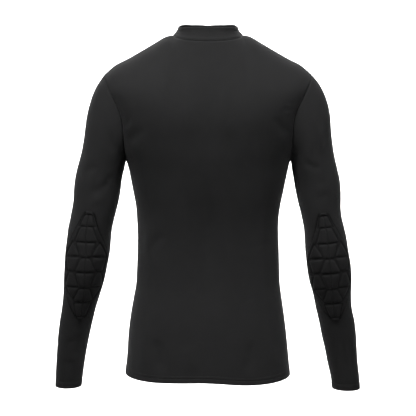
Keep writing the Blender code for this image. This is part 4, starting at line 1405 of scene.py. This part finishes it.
def sew(name, lines):
    """A mesh of stitches along lines on the cloth, each given with its directions out."""
    turn = np.linspace(0.0, 2.0 * math.pi, THREAD_SIDES, endpoint=False)
    side = np.arange(THREAD_SIDES)
    onward = (side + 1) % THREAD_SIDES
    row = np.arange(len(STITCH_SHAPE) - 1)[:, None] * THREAD_SIDES
    over_row = row + THREAD_SIDES
    quads = np.stack([row + side, row + onward, over_row + onward, over_row + side], axis=-1).reshape(-1, 4)
    stitch_points = len(STITCH_SHAPE) * THREAD_SIDES
    caps = (side[::-1], stitch_points - THREAD_SIDES + side)
    points = []
    faces = []
    start = 0
    for line, out in lines:
        length = path_length(line)
        count = int(length[-1] // (STITCH_LENGTH + STITCH_SPACE))
        centres = (np.arange(count) + 0.5) * length[-1] / max(count, 1)
        at = centres[:, None] + STITCH_SHAPE[:, 0] * STITCH_LENGTH
        up = unit(read_line(at, length, out))
        centre = read_line(at, length, line) + up * STITCH_SHAPE[:, 1:] * THREAD_THICK
        ahead = unit(np.gradient(centre, axis=1))
        aside = unit(np.cross(ahead, up))
        over = np.cross(aside, ahead)
        ring = aside[:, :, None] * np.cos(turn)[:, None] + over[:, :, None] * np.sin(turn)[:, None]
        points.append((centre[:, :, None] + 0.5 * THREAD_THICK * ring).reshape(-1, 3))
        first = start + np.arange(count) * stitch_points
        faces += (first[:, None, None] + quads).reshape(-1, 4).tolist()
        faces += [(corner + cap).tolist() for corner in first for cap in caps]
        start += count * stitch_points
    return mesh_piece(name, np.concatenate(points), faces, dark_thread)


# %% Lines on the cloth for the stitches to follow
PAD_ROW_INSET = 1.3
PAD_ROW_HEIGHT = 0.9


def line_at_rise(outer, inward, place, wraps):
    """The line that runs a given distance from the last row of a piece."""
    rise = edge_distance(outer)
    line = []
    out = []
    for column in range(outer.shape[1]):
        order = np.argsort(rise[:, column])
        r = rise[order, column]
        line.append(read_line(place, r, outer[order, column]))
        out.append(read_line(place, r, -inward[order, column]))
    if wraps:
        line.append(line[0])
        out.append(out[0])
    return np.array(line), unit(np.array(out))


def pad_line(side):
    """A stitch line on the pad, parallel to its outline."""
    flat = outline_loop(PAD_ROW_INSET)
    flat = np.concatenate([flat, flat[:1]])
    place, out = on_sleeve(side, flat[:, 0], flat[:, 1])
    return place + out * PAD_ROW_HEIGHT, out


back_stitches = sew("back_hem_stitches", [
    line_at_rise(back_outer, back_inward, place, False) for place in HEM_ROW_PLACES])
front_stitches = sew("front_hem_stitches", [
    line_at_rise(front_outer, front_inward, place, False) for place in HEM_ROW_PLACES])
left_stitches = sew("left_cuff_stitches", [line_at_rise(left_outer, left_inward, CUFF_DEPTH, True)])
right_stitches = sew("right_cuff_stitches", [line_at_rise(right_outer, right_inward, CUFF_DEPTH, True)])
collar_rows = (COLLAR_RIM_ROW, float(collar_rise[0].mean()) - COLLAR_SEAM_ROW)
collar_stitches = sew("collar_stitches", [
    line_at_rise(collar_outer, collar_inward, place, True) for place in collar_rows])
left_pad_stitches = sew("left_pad_stitches", [pad_line(LEFT)])
right_pad_stitches = sew("right_pad_stitches", [pad_line(RIGHT)])
print("Hem stitches:", len(back_stitches.data.polygons), "faces")

# %% [markdown]
# ## What each piece is
# Each piece hides the solid that it stands for, and it and its stitches are attached
# to the frame. A sheet's flat size is the size it was cut to. A compression shirt is
# cut smaller than the wearer and stretched by putting it on, so the flat sizes are
# less than the worn ones.

SLEEVES = [left_piece, right_piece]
PANELS = [back_piece, front_piece]
# Piece, the solid it replaces, slot, flat size, flat area, its stitches, what it is sewn to.
WORN_PIECES = (
    (back_piece, "back_panel", "back_cloth", (0.47, 0.66), 0.250, back_stitches,
     [front_piece] + SLEEVES),
    (front_piece, "front_panel", "front_cloth", (0.47, 0.65), 0.250, front_stitches,
     [back_piece] + SLEEVES),
    (left_piece, "sleeve_left", "left_sleeve_cloth", (0.36, 0.62), 0.135, left_stitches, PANELS),
    (right_piece, "sleeve_right", "right_sleeve_cloth", (0.36, 0.62), 0.135, right_stitches, PANELS),
    (collar_piece, "collar", "collar_cloth", (0.38, 0.040), 0.0108, collar_stitches, PANELS))
PADS = (
    (left_pad, "elbow_pad_left", "left_pad_cloth", left_pad_stitches),
    (right_pad, "elbow_pad_right", "right_pad_cloth", right_pad_stitches))


def declare(piece, node, stitches):
    """Hides the solid that a piece replaces, and attaches the piece and its stitches to the frame's root."""
    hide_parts(node)
    for item in (piece, stitches):
        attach(item, "root")


for piece, node, slot, flat, area, stitches, sewn_to in WORN_PIECES:
    declare(piece, node, stitches)
for piece, node, slot, stitches in PADS:
    declare(piece, node, stitches)

# %% [markdown]
# ## Floor, light and camera
# The photograph is a cut-out on white with soft light from above and from both sides.
# A pale floor that curves up behind the shirt gives that ground without an edge. Two
# large lights above light the back, and two weaker ones the front, so that the shirt
# reads from every side and its sleeves get a light edge. A bright sky all round would
# light a near-black shirt flat, so the air gives almost no light. It is pale only to
# look at, where a view passes the floor by.

# %% Build the stage
FLOOR = -2.20
FLOOR_HALF_WIDE = 5.0
FLOOR_NEAR = 2.0
FLOOR_BEND = 2.5
FLOOR_BEND_STEPS = 16
FLOOR_FAR = -6.0
WALL_TOP = 9.0
FLOOR_PATCHES = 120.0
FLOOR_ROUGH = (0.85, 0.95)
PALE = (0.93, 0.93, 0.93, 1.0)


def stage_floor():
    """A pale floor that rises behind the shirt in one curve."""
    profile = [(FLOOR_NEAR, FLOOR)]
    for k in range(FLOOR_BEND_STEPS + 1):
        turn = 0.5 * math.pi * k / FLOOR_BEND_STEPS
        profile.append((FLOOR_FAR - FLOOR_BEND * math.sin(turn), FLOOR + FLOOR_BEND * (1.0 - math.cos(turn))))
    profile.append((FLOOR_FAR - FLOOR_BEND, WALL_TOP))
    points = [(x / MM, y / MM, z / MM) for y, z in profile for x in (-FLOOR_HALF_WIDE, FLOOR_HALF_WIDE)]
    faces = [(2 * k, 2 * k + 1, 2 * k + 3, 2 * k + 2) for k in range(len(profile) - 1)]
    n = Nodes("pale_floor")
    n.feed(n.shader.inputs["Base Color"], PALE)
    n.feed(n.shader.inputs["Roughness"], n.between(n.noise(FLOOR_PATCHES, 2.0), *FLOOR_ROUGH))
    mesh_piece("floor", points, faces, n.material)


stage_floor()

# %% Place the lights
SHIRT_MIDDLE = (0.0, 0.0, -0.35)
BACKDROP_MIDDLE = (0.0, -8.0, -1.2)
AIR_LIGHT = 0.012

# Name, place, width and height, watts, what it faces, how wide its beam is in degrees.
LIGHTS = (
    ("left_key", (1.25, 1.8, 3.3), 1.2, 28.0, SHIRT_MIDDLE, 70.0),
    ("right_key", (-1.25, 1.8, 3.3), 1.2, 20.0, SHIRT_MIDDLE, 70.0),
    ("left_front_light", (1.2, -2.8, 1.3), 1.2, 4.4, SHIRT_MIDDLE, 42.0),
    ("right_front_light", (-1.2, -2.8, 1.3), 1.2, 3.0, SHIRT_MIDDLE, 42.0),
    ("left_backdrop_light", (4.0, -3.6, 2.4), 1.6, 420.0, BACKDROP_MIDDLE, 120.0),
    ("right_backdrop_light", (-4.0, -3.6, 2.4), 1.6, 420.0, BACKDROP_MIDDLE, 120.0))


def soft_light(name, place, wide, power, target, beam):
    """A soft square light that faces a target. A small beam keeps it off the rest."""
    lamp = bpy.data.lights.new(name, "AREA")
    lamp.spread = math.radians(beam)
    lamp.shape = "SQUARE"
    lamp.size = wide
    lamp.energy = power
    item = bpy.data.objects.new(name, lamp)
    item.location = place
    toward = np.array(target) - np.array(place)
    level = math.hypot(toward[0], toward[1])
    item.rotation_euler = (math.atan2(level, -toward[2]), 0.0, math.atan2(-toward[0], toward[1]))
    bpy.context.scene.collection.objects.link(item)


def studio_air():
    """A world that gives almost no light, but is pale to the camera."""
    world = bpy.data.worlds.new("studio_air")
    world.use_nodes = True
    tree = world.node_tree
    air = tree.nodes["Background"]
    air.inputs["Color"].default_value = (1.0, 1.0, 1.0, 1.0)
    air.inputs["Strength"].default_value = AIR_LIGHT
    ground = tree.nodes.new("ShaderNodeBackground")
    ground.inputs["Color"].default_value = PALE
    ray = tree.nodes.new("ShaderNodeLightPath")
    chosen = tree.nodes.new("ShaderNodeMixShader")
    given = (ray.outputs["Is Camera Ray"], air.outputs[0], ground.outputs[0])
    for socket, value in zip(chosen.inputs, given):
        tree.links.new(value, socket)
    tree.links.new(chosen.outputs[0], tree.nodes["World Output"].inputs[0])
    return world


for light in LIGHTS:
    soft_light(*light)
bpy.context.scene.world = studio_air()
bpy.context.scene.view_settings.view_transform = "Standard"

# %% Place the camera
CAMERA_AWAY = 4.0
CAMERA_RISE = math.radians(9.0)
CAMERA_TARGET = (0.0, 0.0, -0.3446)
PICTURE_WIDE = 0.832
SENSOR = 36.0
lens = bpy.data.cameras.new("camera")
lens.sensor_width = SENSOR
lens.lens = SENSOR * CAMERA_AWAY / PICTURE_WIDE
camera = bpy.data.objects.new("camera", lens)
camera.location = (
    0.0, CAMERA_AWAY * math.cos(CAMERA_RISE), CAMERA_TARGET[2] + CAMERA_AWAY * math.sin(CAMERA_RISE))
camera.rotation_euler = (0.5 * math.pi - CAMERA_RISE, 0.0, math.pi)
bpy.context.scene.collection.objects.link(camera)
bpy.context.scene.camera = camera
print("Camera", round(lens.lens, 1), "mm lens,", CAMERA_AWAY, "m away")
